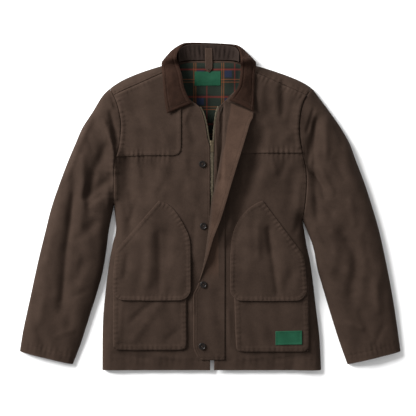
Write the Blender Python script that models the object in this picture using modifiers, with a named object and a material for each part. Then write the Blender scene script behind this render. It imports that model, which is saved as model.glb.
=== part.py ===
"""A field coat laid flat on its back, front up, collar towards +Y.

The wearer's right side lies at -X. Tables and working values are in
millimetres; a mesh gets its points in metres when it is made. Each piece of
cloth is a wall between two skins of the same rows and columns. The top skin of
fronts, shoulders and sleeves is one height function, so seams match, and what
lies on a panel is made from that panel's own points, moved out.
"""
import math

import bpy
import bmesh
import numpy as np
from mathutils import Matrix, Vector

# ---------------------------------------------------------------- dimensions
MM = 0.001
COAT = "field_coat"
RIGHT, LEFT = -1, 1          # wearer's sides, as the sign of x

CANVAS = 2.0                 # wall of the brown canvas, with what backs it
CORDUROY = 2.5               # wall of the collar
LINING = 1.0                 # wall of the plaid lining
LABEL = 0.8                  # wall of a woven label
TAPE = 1.0                   # wall of the zip tape
SEAM_GAP = 0.2               # each piece stays this far back from a seam
LAYER_GAP = 0.3              # between a panel and what is sewn on it
LOOSE_GAP = 0.8              # between cloths that only lie on each other

SEAM_HEIGHT = 5.0            # side and sleeve seams above the floor
EDGE_ROUND = 48.0            # run over which the top rises from a seam
EDGE_CURL = 6.0              # run over which the back rises to a seam
ARMHOLE_BLEND = 30.0         # body height turns into sleeve height over this
COLLAR_LIFT = 4.6            # the back rises over the collar that lies under it,
LIFT_RISE = (288.0, 314.0)   # between these y
LIFT_END = (150.0, 190.0)    # and comes down again between these x, each side

FLAP_SEAM_X = 36.3           # storm flap's seam on the left front
FLAP_SLANT = 0.4             # fall of its top edge for each step across,
FLAP_SLANT_FROM = 195.0      # starting from none at this y
FLAP_COLUMNS = 14
TAPE_WIDTH = 14.0
TAPE_ROWS = 22
TEETH_WIDTH = 5.0            # cloth keeps this far from the line of teeth
ZIP_END = -370.0
FRONT_HEM, BACK_HEM = -402.0, -400.0
SLEEVE_HEM_INNER, SLEEVE_HEM_OUTER = -388.0, -356.0

GUSSET = 5.4                 # height of a bellows pocket's face over the front
POCKET_PUFF = 0.5            # more in the middle of the face
POCKET_MIDDLE = (148.0, -262.0)      # middle of a face, x outwards, and y
POCKET_HALF = (92.0, 90.0)
MOUTH_Y = -172.0             # open upper end of a bellows pocket
FLAP_RAMP = (-96.0, -160.0)  # the hand pocket rises here over the bellows
CUTTER_LOW, CUTTER_HIGH = -20.0, 90.0
CUTTER_OVER = 40.0           # a cutter passes an open end by this

BUTTON_RADIUS = 8.5
BUTTON_THICK = 3.2
BUTTON_DISH = 1.0            # depth of a button's face under its rim
BUTTON_STEPS = 20
BUTTON_REST = 6.0            # a button leans as the cloth does over this run

SLIDER_X, SLIDER_Y = 5.0, 154.0
SLIDER_PLATE = (9.0, 12.0, 1.6)
SLIDER_OVER_TAPE = 0.6
CROWN = (2.4, 5.4, 3.6)
CROWN_SINK = 0.6             # the crown starts this far inside the plate
CROWN_HOLE = (8.0, 2.1, 1.9)
HOLE_OVER_PLATE = 0.3
TAB_BAR = 1.0
TAB_WINDOW = (3.6, 3.6)      # width, and length from the bar's axis
TAB_SIZE = (7.0, 23.0, 1.0)

# Outer edge of shoulder and sleeve, neck to past the cuff. x grows outwards.
#               x     y
OUTER_EDGE = {
    RIGHT: [(80, 354), (117, 345.5), (172, 328), (216, 309), (246, 289),
            (265, 270), (289, 231), (314, 192), (331, 153), (348, 113),
            (370, 55), (390, -4), (405, -63), (424, -141), (441, -220),
            (458, -298), (467, -352), (474, -400)],
    LEFT: [(78, 354), (111, 346), (169, 328), (218, 309), (249, 290),
           (265, 270), (294, 231), (321, 192), (343, 153), (358, 113),
           (380, 55), (399, -4), (416, -63), (433, -141), (448, -220),
           (460, -298), (468.6, -361), (474, -400)],
}
# Inner edge of the sleeve, underarm to past the cuff.
SLEEVE_INNER = {
    RIGHT: [(236, 3), (248, -56), (255, -110), (264, -163), (279, -217),
            (293, -261), (318, -339), (337, -388), (348, -420)],
    LEFT: [(227, -34), (252, -97), (264, -156), (281, -215), (299, -275),
           (316, -329), (336, -385), (348, -420)],
}
# Side of the body, underarm to past the hem.
BODY_SIDE = {
    RIGHT: [(236, 3), (231, -57), (239, -92), (249, -146), (260, -237),
            (264, -300), (265, -402), (266, -440)],
    LEFT: [(227, -34), (237, -95), (246, -137), (253, -188), (260, -247),
           (269, -323), (273, -402), (275, -440)],
}
# Armhole seam seen from the front, underarm to the head of the sleeve.
ARMHOLE = {
    RIGHT: [(236, 3), (234, 84), (231, 112), (222, 145), (217, 194),
            (221, 228), (231, 260), (246, 289)],
    LEFT: [(227, -34), (235, 40), (234, 90), (224, 135), (218, 172),
           (218, 210), (227, 254), (249, 290)],
}
# Line of the zip's teeth, hem to neck: one run below the slider, two above.
TEETH = {
    RIGHT: [(5, -372), (5, -100), (4, 146), (-1, 164), (-6, 196), (-13, 224),
            (-22, 243)],
    LEFT: [(5, -372), (5, -100), (5.5, 146), (6, 164), (8.5, 196), (12, 224),
           (18, 243)],
}
# Rest of the neck edge under the collar, teeth to shoulder. x grows outwards.
NECK_EDGE = {
    RIGHT: [(48, 259), (68, 284), (77, 312), (88, 338)],
    LEFT: [(44, 264), (66, 286), (79, 316), (87, 338)],
}
# Full height of the top above the floor, away from the edges.
#             y    body sleeve
HEIGHTS = [(-402, 15.0, 22.0), (-360, 21.0, 24.0), (-300, 26.5, 28.0),
           (-160, 34.0, 34.0), (0, 40.0, 38.0), (130, 42.5, 40.0),
           (260, 40.0, 40.0), (350, 34.0, 38.0)]

# Main folds of the top: a trough (depth below 0) or ridge along a line.
#        x0    y0    x1    y1  width depth
FOLDS = [(-338, 47, -350, -2, 15, -5.0), (-350, -2, -372, -137, 15, -4.5),
         (-372, -137, -380, -281, 18, -3.5), (-284, 79, -304, 13, 13, -4.5),
         (-235, 71, -300, 22, 12, -3.0), (-257, 208, -235, 103, 16, 3.5),
         (-274, -34, -300, -60, 18, -4.0), (-300, -130, -340, -190, 20, -2.5),
         (262, 218, 245, 138, 14, -5.0), (245, 138, 237, 104, 12, -3.5),
         (235, 101, 264, 69, 11, -4.0), (264, 69, 281, 15, 12, -3.5),
         (318, -58, 357, -120, 20, -4.5), (357, -120, 350, -220, 20, -3.5),
         (300, -160, 345, -195, 16, -2.5), (330, 140, 360, 40, 20, 2.0),
         (-224, 110, -212, -60, 14, -4.5), (-150, 110, -165, 20, 26, -2.5),
         (-95, 90, -60, 10, 24, -2.0), (178, 300, 176, 215, 13, -3.0),
         (205, 90, 195, -20, 20, -3.0), (140, -52, 152, -120, 16, -2.5),
         (170, 110, 120, 60, 30, 2.0), (-160, 215, -120, 160, 26, 1.5)]

# Storm flap, top to bottom: where it folds back and where its free edge lies,
# the radius of the fold, and the rise of the free edge over the fold's start.
#             y    fold   free  roll  rise
FLAP_ROWS = [(256, 40.0, 106.0, 1.5, 4.0), (226, 39.0, 103.0, 2.5, 7.5),
             (195, 36.0, 95.0, 4.0, 12.0), (151, 32.0, 82.0, 5.0, 16.0),
             (96, 23.0, 65.0, 6.0, 18.0), (50, 14.0, 51.0, 6.0, 17.0),
             (9, 4.7, 39.0, 6.0, 16.0), (-33, 0.5, 26.0, 6.0, 15.0),
             (-74, -4.4, 10.0, 6.0, 13.0), (-127, -12.0, -6.0, 5.0, 10.0),
             (-160, -19.0, -17.0, 2.0, 4.0), (-181, -25.5, -25.0, 0.5, 1.0),
             (-199, -33.5, -33.5, 0.0, 0.0), (-215, -41.0, -41.0, 0.0, 0.0),
             (-240, -41.0, -41.0, 0.0, 0.0), (-290, -41.0, -41.0, 0.0, 0.0),
             (-340, -41.0, -41.0, 0.0, 0.0), (-358, -36.0, -36.0, 0.0, 0.0),
             (-370, -29.0, -29.0, 0.0, 0.0), (-377, -20.0, -20.0, 0.0, 0.0)]

# Corners x, y, radius of what is sewn on the fronts.
HAND_POCKET = {
    RIGHT: [(-121.5, 18, 6), (-231, -110, 10), (-237, -229, 20), (-47, -229, 20),
            (-48, -82, 30), (-84, -12, 30)],
    LEFT: [(126, 17, 6), (80, -6, 30), (49, -88, 30), (49, -230, 20), (236, -230, 20),
           (230, -121, 10)],
}
BELLOWS = {
    RIGHT: [(-237, MOUTH_Y, 0), (-237, -352, 16), (-57, -352, 16), (-57, MOUTH_Y, 0)],
    LEFT: [(57, MOUTH_Y, 0), (64, -356, 16), (242, -356, 16), (240, MOUTH_Y, 0)],
}
PATCH = [(-300, 118, 0), (-300, 400, 0), (-70, 400, 0), (-70, 123, 27), (-200, 123, 0)]
YOKE = [(300, 400, 0), (300, 128.6, 0), (41, 128.6, 0), (41, 400, 0)]
POCKET_LABEL = [(159.5, -303, 0), (159.5, -338.5, 0), (225, -338.5, 0), (225, -303, 0)]
# Corners of what lies on the back, inside the neck.
BACK_LINING = [(-150, 60, 0), (150, 60, 0), (150, 300, 30), (68, 352, 10), (-68, 352, 10),
               (-150, 300, 30)]
NECK_LABEL = [(-38, 296, 0), (26, 296, 0), (26, 331, 0), (-38, 331, 0)]
# Lower edge of the back and its neck edge between the shoulders.
BACK_HEM_CURVE = [(-150, -391), (0, -379), (150, -391)]
BACK_NECK_CURVE = [(-45, 356.5), (5, 357.5), (50, 356.5)]

# Buttons down the right front; the lower two lie on the flap.
#           x      y    on_flap tilt_deg
BUTTONS = [(-18.6, 102.4, False, 0.0), (-16.4, -48.3, False, 0.0),
           (-16.2, -190.4, True, 2.0), (-19.4, -341.5, True, 5.0)]

# Collar sections, right tip to left tip: where the leaf leaves the roll, the
# point that draws it over, and its outer edge. A z of 1000 or more is counted
# from the coat's top at that point.
OVER = 1000.0
#          roll x   y    z     pull x   y     z      edge x    y    z
COLLAR = [(-43, 249, OVER + 7, -72, 239, OVER + 10, -104, 225, OVER + 6),
          (-54, 267, OVER + 9, -80, 260, OVER + 12, -108, 243, OVER + 6),
          (-63, 289, OVER + 10, -88, 285, OVER + 13, -112, 272, OVER + 6),
          (-69, 321, OVER + 11, -94, 318, OVER + 15, -115, 308, OVER + 6),
          (-77, 344, OVER + 11, -101, 345, OVER + 19, -118, 334, OVER + 7),
          (-82, 357, 46.0, -110, 363, 48.0, -125, 350, 25.0),
          (-83, 369, 39.0, -121, 379, 28.0, -121, 352, 7.0),
          (-79, 381, 30.0, -120, 404, 6.0, -104, 342, 0.0),
          (-71, 391, 21.0, -94, 416, 0.0, -78, 327, 0.0),
          (-58, 398.5, 14.0, -66, 415, 0.0, -54, 323, 0.0),
          (-30, 400.5, 10.0, -33, 413, 0.0, -28, 321, 0.0),
          (5, 399.5, 9.5, 5, 412, 0.0, 4, 320, 0.0),
          (38, 397.5, 11.0, 40, 410, 0.0, 34, 321, 0.0),
          (62, 393, 15.0, 70, 411, 0.0, 58, 323, 0.0),
          (71, 385, 23.0, 96, 409, 0.0, 78, 327, 0.0),
          (74, 374, 34.0, 114, 396, 6.0, 100, 341, 0.0),
          (75, 362, 45.0, 114, 375, 30.0, 117, 351, 7.0),
          (75, 350, 55.0, 106, 359, 52.0, 120, 349, 26.0),
          (74, 335, OVER + 19, 97, 340, OVER + 22, 111, 331, OVER + 8),
          (72, 312, OVER + 20, 93, 316, OVER + 20, 109, 306, OVER + 7),
          (68, 290, OVER + 19, 88, 291, OVER + 18, 108, 275, OVER + 7),
          (57, 273, OVER + 16, 80, 270, OVER + 18, 107, 250, OVER + 10),
          (45, 257, OVER + 13, 74, 247, OVER + 18, 105, 230, OVER + 13)]

# Inner stand of the collar across the back of the neck: its lower edge at the
# neck seam and its upper edge at the roll.
#         low x   y    z     high x   y    z
STAND = [(-76, 352, 24.0, -77, 377, 30.0), (-66, 356, 16.0, -68, 387, 20.0),
         (-50, 358, 9.5, -54, 394, 13.0), (-25, 358.6, 8.2, -28, 396.5, 9.6),
         (5, 358.8, 7.8, 5, 395.5, 9.0), (32, 358.6, 8.2, 35, 393.5, 10.4),
         (52, 358, 9.5, 57, 389.5, 14.0), (64, 356, 16.0, 66, 382, 21.5),
         (70, 352, 26.0, 70, 371, 33.0)]

# Hanger tab, top to point: half width and the height of its lower skin.
#        y    half   z
HANGER = [(388, 8.5, 9.3), (372, 9.0, 9.0), (358, 9.0, 9.3), (346, 9.0, 9.9),
          (337, 8.0, 10.2), (329, 1.5, 10.2)]
HANGER_X = -3.0

# Piece colours, sRGB seen in flat light, with roughness and metal.
FINISH = {
    "canvas": ((0.105, 0.073, 0.055), 0.92, 0.0),
    "corduroy": ((0.052, 0.026, 0.018), 0.95, 0.0),
    "lining": ((0.045, 0.055, 0.060), 0.95, 0.0),
    "label": ((0.012, 0.095, 0.045), 0.80, 0.0),
    "tape": ((0.060, 0.048, 0.038), 0.90, 0.0),
    "metal": ((0.260, 0.190, 0.100), 0.40, 1.0),
    "button": ((0.016, 0.013, 0.012), 0.28, 0.0),
}


# ------------------------------------------------------------ scene and mesh
def clear_scene():
    for item in list(bpy.data.objects):
        bpy.data.objects.remove(item, do_unlink=True)


def collection(name):
    made = bpy.data.collections.new(name)
    bpy.context.scene.collection.children.link(made)
    return made


def material(name, finish):
    colour, roughness, metallic = FINISH[finish]
    made = bpy.data.materials.new(name)
    made.use_nodes = True
    shader = made.node_tree.nodes["Principled BSDF"]
    shader.inputs["Base Color"].default_value = (*colour, 1.0)
    shader.inputs["Roughness"].default_value = roughness
    shader.inputs["Metallic"].default_value = metallic
    made.diffuse_color = (*colour, 1.0)
    return made


def add(name, mesh, finish, group):
    item = bpy.data.objects.new(name, mesh)
    if finish:
        mesh.materials.append(material(name, finish))
    else:
        item.hide_render = True
        item.display_type = "WIRE"
    group.objects.link(item)
    return item


def wall_mesh(name, outer, inner):
    """Closed wall between two skins given as rows x columns x 3."""
    rows, columns = outer.shape[:2]
    index = np.arange(rows * columns).reshape(rows, columns)
    a, b = index[:-1, :-1].ravel(), index[:-1, 1:].ravel()
    c, d = index[1:, 1:].ravel(), index[1:, :-1].ravel()
    front = np.concatenate([np.stack([a, b, c], 1), np.stack([a, c, d], 1)])
    rim = np.concatenate([index[0, :-1], index[:-1, -1], index[-1, :0:-1], index[:0:-1, 0]])
    ahead = np.roll(rim, -1)
    back = rows * columns
    sides = np.concatenate([np.stack([ahead, rim, rim + back], 1),
                            np.stack([ahead, rim + back, ahead + back], 1)])
    faces = np.concatenate([front, front[:, ::-1] + back, sides])
    points = np.concatenate([outer.reshape(-1, 3), inner.reshape(-1, 3)]) * MM
    corners = points[faces]
    volume = np.einsum("ij,ij->i", corners[:, 0], np.cross(corners[:, 1], corners[:, 2])).sum()
    if volume < 0:
        faces = faces[:, ::-1]
    mesh = bpy.data.meshes.new(name)
    mesh.from_pydata(points.tolist(), [], faces.tolist())
    mesh.shade_smooth()
    mesh.set_sharp_from_angle(angle=math.radians(50))
    return mesh


def prism(name, outline, low, high, group):
    """Cutter: a closed outline of (x, y), upright between two heights."""
    shape = bmesh.new()
    floor = shape.faces.new([shape.verts.new((x * MM, y * MM, low * MM)) for x, y in outline])
    grown = bmesh.ops.extrude_face_region(shape, geom=[floor])
    raised = [v for v in grown["geom"] if isinstance(v, bmesh.types.BMVert)]
    bmesh.ops.translate(shape, verts=raised, vec=(0, 0, (high - low) * MM))
    bmesh.ops.recalc_face_normals(shape, faces=shape.faces)
    mesh = bpy.data.meshes.new(name)
    shape.to_mesh(mesh)
    shape.free()
    return add(name, mesh, None, group)


def cut(item, cutter, operation):
    step = item.modifiers.new(operation.lower(), "BOOLEAN")
    step.operation = operation
    step.object = cutter
    step.solver = "EXACT"


# ------------------------------------------------------------------- curves
def smooth_line(rows, steps=8):
    """Catmull-Rom curve through the rows of a table, as many columns wide."""
    p = np.asarray(rows, float)
    p = np.vstack([2 * p[0] - p[1], p, 2 * p[-1] - p[-2]])
    t = np.arange(steps)[:, None] / steps
    runs = []
    for k in range(1, len(p) - 2):
        a, b, c, d = p[k - 1], p[k], p[k + 1], p[k + 2]
        runs.append(b + 0.5 * t * (c - a) + t**2 * (a - 2.5 * b + 2 * c - 0.5 * d)
                    + t**3 * (1.5 * (b - c) + 0.5 * (d - a)))
    return np.vstack(runs + [p[-2:-1]])


def lengths(line):
    steps = np.linalg.norm(np.diff(line, axis=0), axis=1)
    return np.concatenate([[0.0], np.cumsum(steps)])


def along(line, fractions):
    """Points at the given fractions of a line's length."""
    run = lengths(line)
    at = np.asarray(fractions) * run[-1]
    return np.stack([np.interp(at, run, line[:, k]) for k in range(line.shape[1])], 1)


def x_at(rows, y):
    """The x of a table of (x, y) at heights y."""
    line = smooth_line(rows)
    order = np.argsort(line[:, 1])
    return np.interp(y, line[order, 1], line[order, 0])


def upto(line, y_end):
    """The stretch of a falling line above y_end, closed with a point there."""
    keep = line[line[:, 1] > y_end + 1e-6]
    below = line[len(keep)]
    share = (keep[-1, 1] - y_end) / (keep[-1, 1] - below[1])
    return np.vstack([keep, keep[-1] + share * (below - keep[-1])])


def sided(rows, side):
    """A table whose x grows outwards, put on one side of the coat."""
    return smooth_line([(side * x, y) for x, y in rows])


def ease(low, high, value):
    t = np.clip((value - low) / (high - low), 0.0, 1.0)
    return t * t * (3 - 2 * t)


def coons(near, far, start, end):
    """Grid filling four edges. near and far run along the columns, start and
    end along the rows; the four corners are shared."""
    u = (lengths(near) / lengths(near)[-1])[None, :, None]
    v = (lengths(start) / lengths(start)[-1])[:, None, None]
    corners = ((1 - v) * ((1 - u) * near[0] + u * near[-1])
               + v * ((1 - u) * far[0] + u * far[-1]))
    return ((1 - v) * near[None] + v * far[None]
            + (1 - u) * start[:, None] + u * end[:, None] - corners)


# ------------------------------------------------------------------ heights
EDGE_LINES = [sided(OUTER_EDGE[side], side) for side in (RIGHT, LEFT)]
EDGE_LINES += [np.vstack([sided(SLEEVE_INNER[side], side)[::-1], sided(BODY_SIDE[side], side)[1:]])
               for side in (RIGHT, LEFT)]


def segment_distance(x, y, ax, ay, bx, by):
    """Distance to a straight segment, and the place along it from 0 to 1."""
    span = (bx - ax) ** 2 + (by - ay) ** 2
    t = np.clip(((x - ax) * (bx - ax) + (y - ay) * (by - ay)) / span, 0, 1)
    return np.hypot(x - ax - t * (bx - ax), y - ay - t * (by - ay)), t


def edge_distance(x, y):
    """Distance in plan to the nearest folded edge of the coat."""
    nearest = np.full(np.shape(x), 1e9)
    for line in EDGE_LINES:
        for (ax, ay), (bx, by) in zip(line[:-1], line[1:]):
            nearest = np.minimum(nearest, segment_distance(x, y, ax, ay, bx, by)[0])
    return nearest


def full_height(x, y):
    table = np.asarray(HEIGHTS)
    body = np.interp(y, table[:, 0], table[:, 1])
    sleeve = np.interp(y, table[:, 0], table[:, 2])
    hole = np.where(x < 0, x_at(ARMHOLE[RIGHT], y), x_at(ARMHOLE[LEFT], y))
    past = ease(-ARMHOLE_BLEND, ARMHOLE_BLEND, np.abs(x) - hole)
    return body + (sleeve - body) * past


def folds(x, y):
    """Sum of the folds: each a soft bell across its line, fading at its ends."""
    total = np.zeros(np.shape(x))
    for x0, y0, x1, y1, width, depth in FOLDS:
        off, _ = segment_distance(x, y, x0, y0, x1, y1)
        total += depth * np.exp(-((off / width) ** 2))
    return total


def top_height(x, y):
    """Outer skin of fronts, shoulders and sleeves above the floor."""
    t = np.clip(edge_distance(x, y) / EDGE_ROUND, 0, 1)
    rise = np.sqrt(1 - (1 - t) ** 2)
    return SEAM_HEIGHT + (full_height(x, y) - SEAM_HEIGHT + folds(x, y)) * rise


def under_height(x, y):
    """Outer skin of the back and the under sleeves, flat on the floor."""
    t = np.clip(edge_distance(x, y) / EDGE_CURL, 0, 1)
    lift = COLLAR_LIFT * ease(*LIFT_RISE, y) * (1 - ease(*LIFT_END, np.abs(x)))
    return lift + (SEAM_HEIGHT - lift) * (1 - np.sqrt(1 - (1 - t) ** 2))


def slope(height, x, y, step=0.5):
    gx = (height(x + step, y) - height(x - step, y)) / (2 * step)
    gy = (height(x, y + step) - height(x, y - step)) / (2 * step)
    return gx, gy


def skin(plan, height, rim):
    """Points and upward normals of a height function over a plan grid. On rim
    points, which lie on a folded edge, the normal is level and the height is
    the seam's, less the seam gap."""
    x, y = plan[..., 0], plan[..., 1]
    centre = plan.mean(axis=(0, 1))
    inward = centre - plan
    inward /= np.linalg.norm(inward, axis=-1, keepdims=True)
    nudged = plan + np.where(rim[..., None], 1.5 * inward, 0.0)
    gx, gy = slope(height, nudged[..., 0], nudged[..., 1])
    normal = np.stack([-gx, -gy, np.where(rim, 0.0, 1.0)], -1)
    normal /= np.linalg.norm(normal, axis=-1, keepdims=True)
    away = 0.5 * LAYER_GAP if height is top_height else -0.5 * LAYER_GAP
    z = np.where(rim, SEAM_HEIGHT + away, height(x, y))
    return np.dstack([x, y, z]), normal


def draw_back(plan, sides):
    """Moves the named edges of a plan grid inwards by the seam gap."""
    plan = plan.copy()
    every = slice(None)
    pairs = {"near": ((0, every), (1, every)), "far": ((-1, every), (-2, every)),
             "start": ((every, 0), (every, 1)), "end": ((every, -1), (every, -2))}
    for side in sides:
        edge, inner = pairs[side]
        step = plan[inner] - plan[edge]
        plan[edge] += SEAM_GAP * step / np.linalg.norm(step, axis=-1, keepdims=True)
    return plan


# ------------------------------------------------------- shared seam points
# Places along the armhole, underarm to head, shared by all that meet there.
ARMHOLE_SHARES = [0, 0.04, 0.12, 0.22, 0.34, 0.46, 0.58, 0.70, 0.80, 0.88]
FORWARD_SHARE = 0.93
HEAD_SHARES = [FORWARD_SHARE, 0.975, 1.0]
SIDE_ROWS = 16
# Places across a front, side to centre.
FRONT_SHARES = [0, 0.014, 0.05, 0.11, 0.20, 0.30, 0.40, 0.50, 0.60, 0.70, 0.80, 0.90, 1]
# Places across the back, side to side.
BACK_SHARES = [0, 0.008, 0.025, 0.08, 0.2, 0.35, 0.5, 0.65, 0.8, 0.92, 0.975, 0.992, 1]
SLEEVE_ROWS = 17


def armhole_points(side, shares):
    return along(sided(ARMHOLE[side], side), shares)


def side_points(side, hem_y, count):
    """Side of the body from the hem up to the underarm."""
    line = upto(sided(BODY_SIDE[side], side), hem_y)[::-1]
    return along(line, np.linspace(0, 1, count))


def neck_point(side):
    x, y = OUTER_EDGE[side][0]
    return np.array([side * x, y])


def front_edge(side):
    """Centre front edge from the hem up, then the neck edge to the shoulder."""
    rise = [(side * x, y) for x, y in NECK_EDGE[side]]
    teeth = [(x + side * TEETH_WIDTH, y) for x, y in TEETH[side]]
    hem = [(teeth[0][0] - side * 0.5, FRONT_HEM)]
    return smooth_line(hem + teeth + rise)


def front_plan(side):
    shares = ARMHOLE_SHARES + [FORWARD_SHARE]
    hole = armhole_points(side, shares)
    start = np.vstack([side_points(side, FRONT_HEM, SIDE_ROWS)[:-1], hole])
    end_line = front_edge(side)
    at = lengths(start) / lengths(start)[-1]
    end = along(end_line, at)
    hem = along(np.array([start[0], end[0]]), FRONT_SHARES)
    shoulder = along(np.array([start[-1], end[-1]]), FRONT_SHARES)
    plan = coons(hem, shoulder, start, end)
    rim = np.zeros(plan.shape[:2], bool)
    rim[:SIDE_ROWS, 0] = True
    return plan, rim


def shoulder_plan(side):
    """The back's cloth over the shoulder, forward seam to shoulder edge."""
    front, _ = front_plan(side)
    head = armhole_points(side, HEAD_SHARES)
    ridge_line = sided(OUTER_EDGE[side], side)
    ridge_line = ridge_line[ridge_line[:, 1] >= head[-1, 1] - 1e-6][::-1]
    ridge_line[0] = head[-1]
    ridge = along(ridge_line, FRONT_SHARES)
    seam = front[-1]
    neck = along(np.array([seam[-1], ridge[-1]]), lengths(head) / lengths(head)[-1])
    plan = coons(seam, ridge, head, neck)
    rim = np.zeros(plan.shape[:2], bool)
    rim[-1] = True
    return plan, rim


def back_plan():
    shares = ARMHOLE_SHARES + HEAD_SHARES
    sides = {}
    for side in (RIGHT, LEFT):
        sides[side] = np.vstack([side_points(side, BACK_HEM, SIDE_ROWS)[:-1],
                                 armhole_points(side, shares)])
    ridge = {}
    for side in (RIGHT, LEFT):
        line = sided(OUTER_EDGE[side], side)
        line = line[line[:, 1] >= sides[side][-1, 1] - 1e-6]
        line[-1] = sides[side][-1]
        ridge[side] = line
    neck = smooth_line([neck_point(RIGHT), *BACK_NECK_CURVE, neck_point(LEFT)])
    top = np.vstack([ridge[RIGHT][::-1], neck[1:-1], ridge[LEFT]])
    far = along(top, BACK_SHARES)
    hem = smooth_line([sides[RIGHT][0], *BACK_HEM_CURVE, sides[LEFT][0]])
    near = along(hem, BACK_SHARES)
    plan = coons(near, far, sides[RIGHT], sides[LEFT])
    rim = np.zeros(plan.shape[:2], bool)
    rim[:SIDE_ROWS, 0] = rim[:SIDE_ROWS, -1] = True
    rim[-1] = np.abs(far[:, 0]) >= OUTER_EDGE[RIGHT][0][0] - 6
    return plan, rim


def sleeve_plan(side):
    """Armhole (first row) to cuff, inner edge (first column) to outer edge."""
    near = armhole_points(side, ARMHOLE_SHARES + HEAD_SHARES)
    inner = upto(sided(SLEEVE_INNER[side], side), SLEEVE_HEM_INNER)
    outer = sided(OUTER_EDGE[side], side)
    outer = outer[outer[:, 1] <= near[-1, 1] + 1e-6]
    outer = upto(np.vstack([near[-1:], outer[1:]]), SLEEVE_HEM_OUTER)
    rows = np.linspace(0, 1, SLEEVE_ROWS)
    start, end = along(inner, rows), along(outer, rows)
    cuff = along(np.array([start[-1], end[-1]]), lengths(near) / lengths(near)[-1])
    plan = coons(near, cuff, start, end)
    rim = np.zeros(plan.shape[:2], bool)
    rim[:, 0] = rim[:, -1] = True
    return plan, rim


# ------------------------------------------------------------ cloth pieces
def top_panel(name, plan, rim, sides, group):
    """A panel of the top side; gives its outer skin and normals."""
    outer, normal = skin(draw_back(plan, sides), top_height, rim)
    add(name, wall_mesh(name, outer, outer - CANVAS * normal), "canvas", group)
    return outer, normal


def under_panel(name, plan, rim, sides, group):
    """A panel that lies on the floor."""
    outer, normal = skin(draw_back(plan, sides), under_height, rim)
    add(name, wall_mesh(name, outer, outer + CANVAS * normal), "canvas", group)


def slab(name, base, low, high, outline, finish, group, cutters, clear=45.0):
    """Part of a moved-out copy of a panel's skin, cut to an outline. low and
    high are the distances out from the panel, as numbers or grids."""
    outer, normal = base
    inside = ((outer[..., 0] > outline[:, 0].min() - clear)
              & (outer[..., 0] < outline[:, 0].max() + clear)
              & (outer[..., 1] > outline[:, 1].min() - clear)
              & (outer[..., 1] < outline[:, 1].max() + clear))
    rows, columns = np.where(inside.any(1))[0], np.where(inside.any(0))[0]
    part = np.ix_(range(rows[0], rows[-1] + 1), range(columns[0], columns[-1] + 1))
    low = np.broadcast_to(low, outer.shape[:2])[part][..., None]
    high = np.broadcast_to(high, outer.shape[:2])[part][..., None]
    points, out = outer[part], normal[part]
    mesh = wall_mesh(name, points + high * out, points + low * out)
    item = add(name, mesh, finish, group)
    outline_cutter = prism(name + "_outline", outline, CUTTER_LOW, CUTTER_HIGH, cutters)
    cut(item, outline_cutter, "INTERSECT")
    return item


def rounded(corners, steps=4):
    """Closed outline of (x, y, radius) corners with each corner rounded."""
    points = []
    count = len(corners)
    for k in range(count):
        here = np.array(corners[k][:2], float)
        before = np.array(corners[k - 1][:2], float) - here
        after = np.array(corners[(k + 1) % count][:2], float) - here
        radius = corners[k][2]
        if radius == 0:
            points.append(here)
            continue
        before /= np.linalg.norm(before)
        after /= np.linalg.norm(after)
        half = 0.5 * math.acos(float(np.clip(before @ after, -1, 1)))
        reach = radius / math.tan(half)
        for t in np.linspace(0, 1, steps + 1):
            p = here + before * reach * (1 - t) ** 2 + after * reach * t**2
            points.append(p)
    return np.array(points)


def pocket_face(side, base):
    """Distance of a bellows pocket's face from the front, a little puffed."""
    x, y = base[0][..., 0], base[0][..., 1]
    across = np.clip(np.abs(side * x - POCKET_MIDDLE[0]) / POCKET_HALF[0], 0, 1)
    down = np.clip(np.abs(y - POCKET_MIDDLE[1]) / POCKET_HALF[1], 0, 1)
    return GUSSET + POCKET_PUFF * (1 - across**2) * (1 - down**2)


def bellows_pocket(side, name, base, group, cutters):
    """A tray: face and gusset round an open hollow, sewn on three sides."""
    face = pocket_face(side, base)
    outline = rounded(BELLOWS[side])
    tray = slab(name, base, LAYER_GAP, face, outline, "canvas", group, cutters)
    middle = outline.mean(0)
    inset = outline - CANVAS * np.sign(outline - middle)
    inset[outline[:, 1] >= MOUTH_Y, 1] += CUTTER_OVER
    hollow = slab(name + "_hollow", base, -CANVAS, face - CANVAS, inset, None, cutters, cutters)
    cut(tray, hollow, "DIFFERENCE")


def hand_pocket(side, name, base, group, cutters):
    """Arched panel on the front whose lower end is the bellows' flap."""
    y = base[0][..., 1]
    rise = GUSSET + POCKET_PUFF + LOOSE_GAP - LAYER_GAP
    low = LAYER_GAP + rise * (1 - ease(FLAP_RAMP[1], FLAP_RAMP[0], y))
    slab(name, base, low, low + CANVAS, rounded(HAND_POCKET[side]), "canvas", group, cutters)


def flap_section(fold, free, roll, rise):
    """Section of the flap's face as rows of (x, height): flat from the seam to
    the fold, half a turn round it, then straight to the free edge."""
    centre = min(fold + roll, FLAP_SEAM_X)
    turn = np.linspace(0, math.pi, 9)
    bend = np.stack([centre - roll * np.sin(turn), roll * (1 - np.cos(turn))], 1)
    return np.vstack([[(FLAP_SEAM_X, 0.0)], bend, [(max(free, centre), rise)]])


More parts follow.
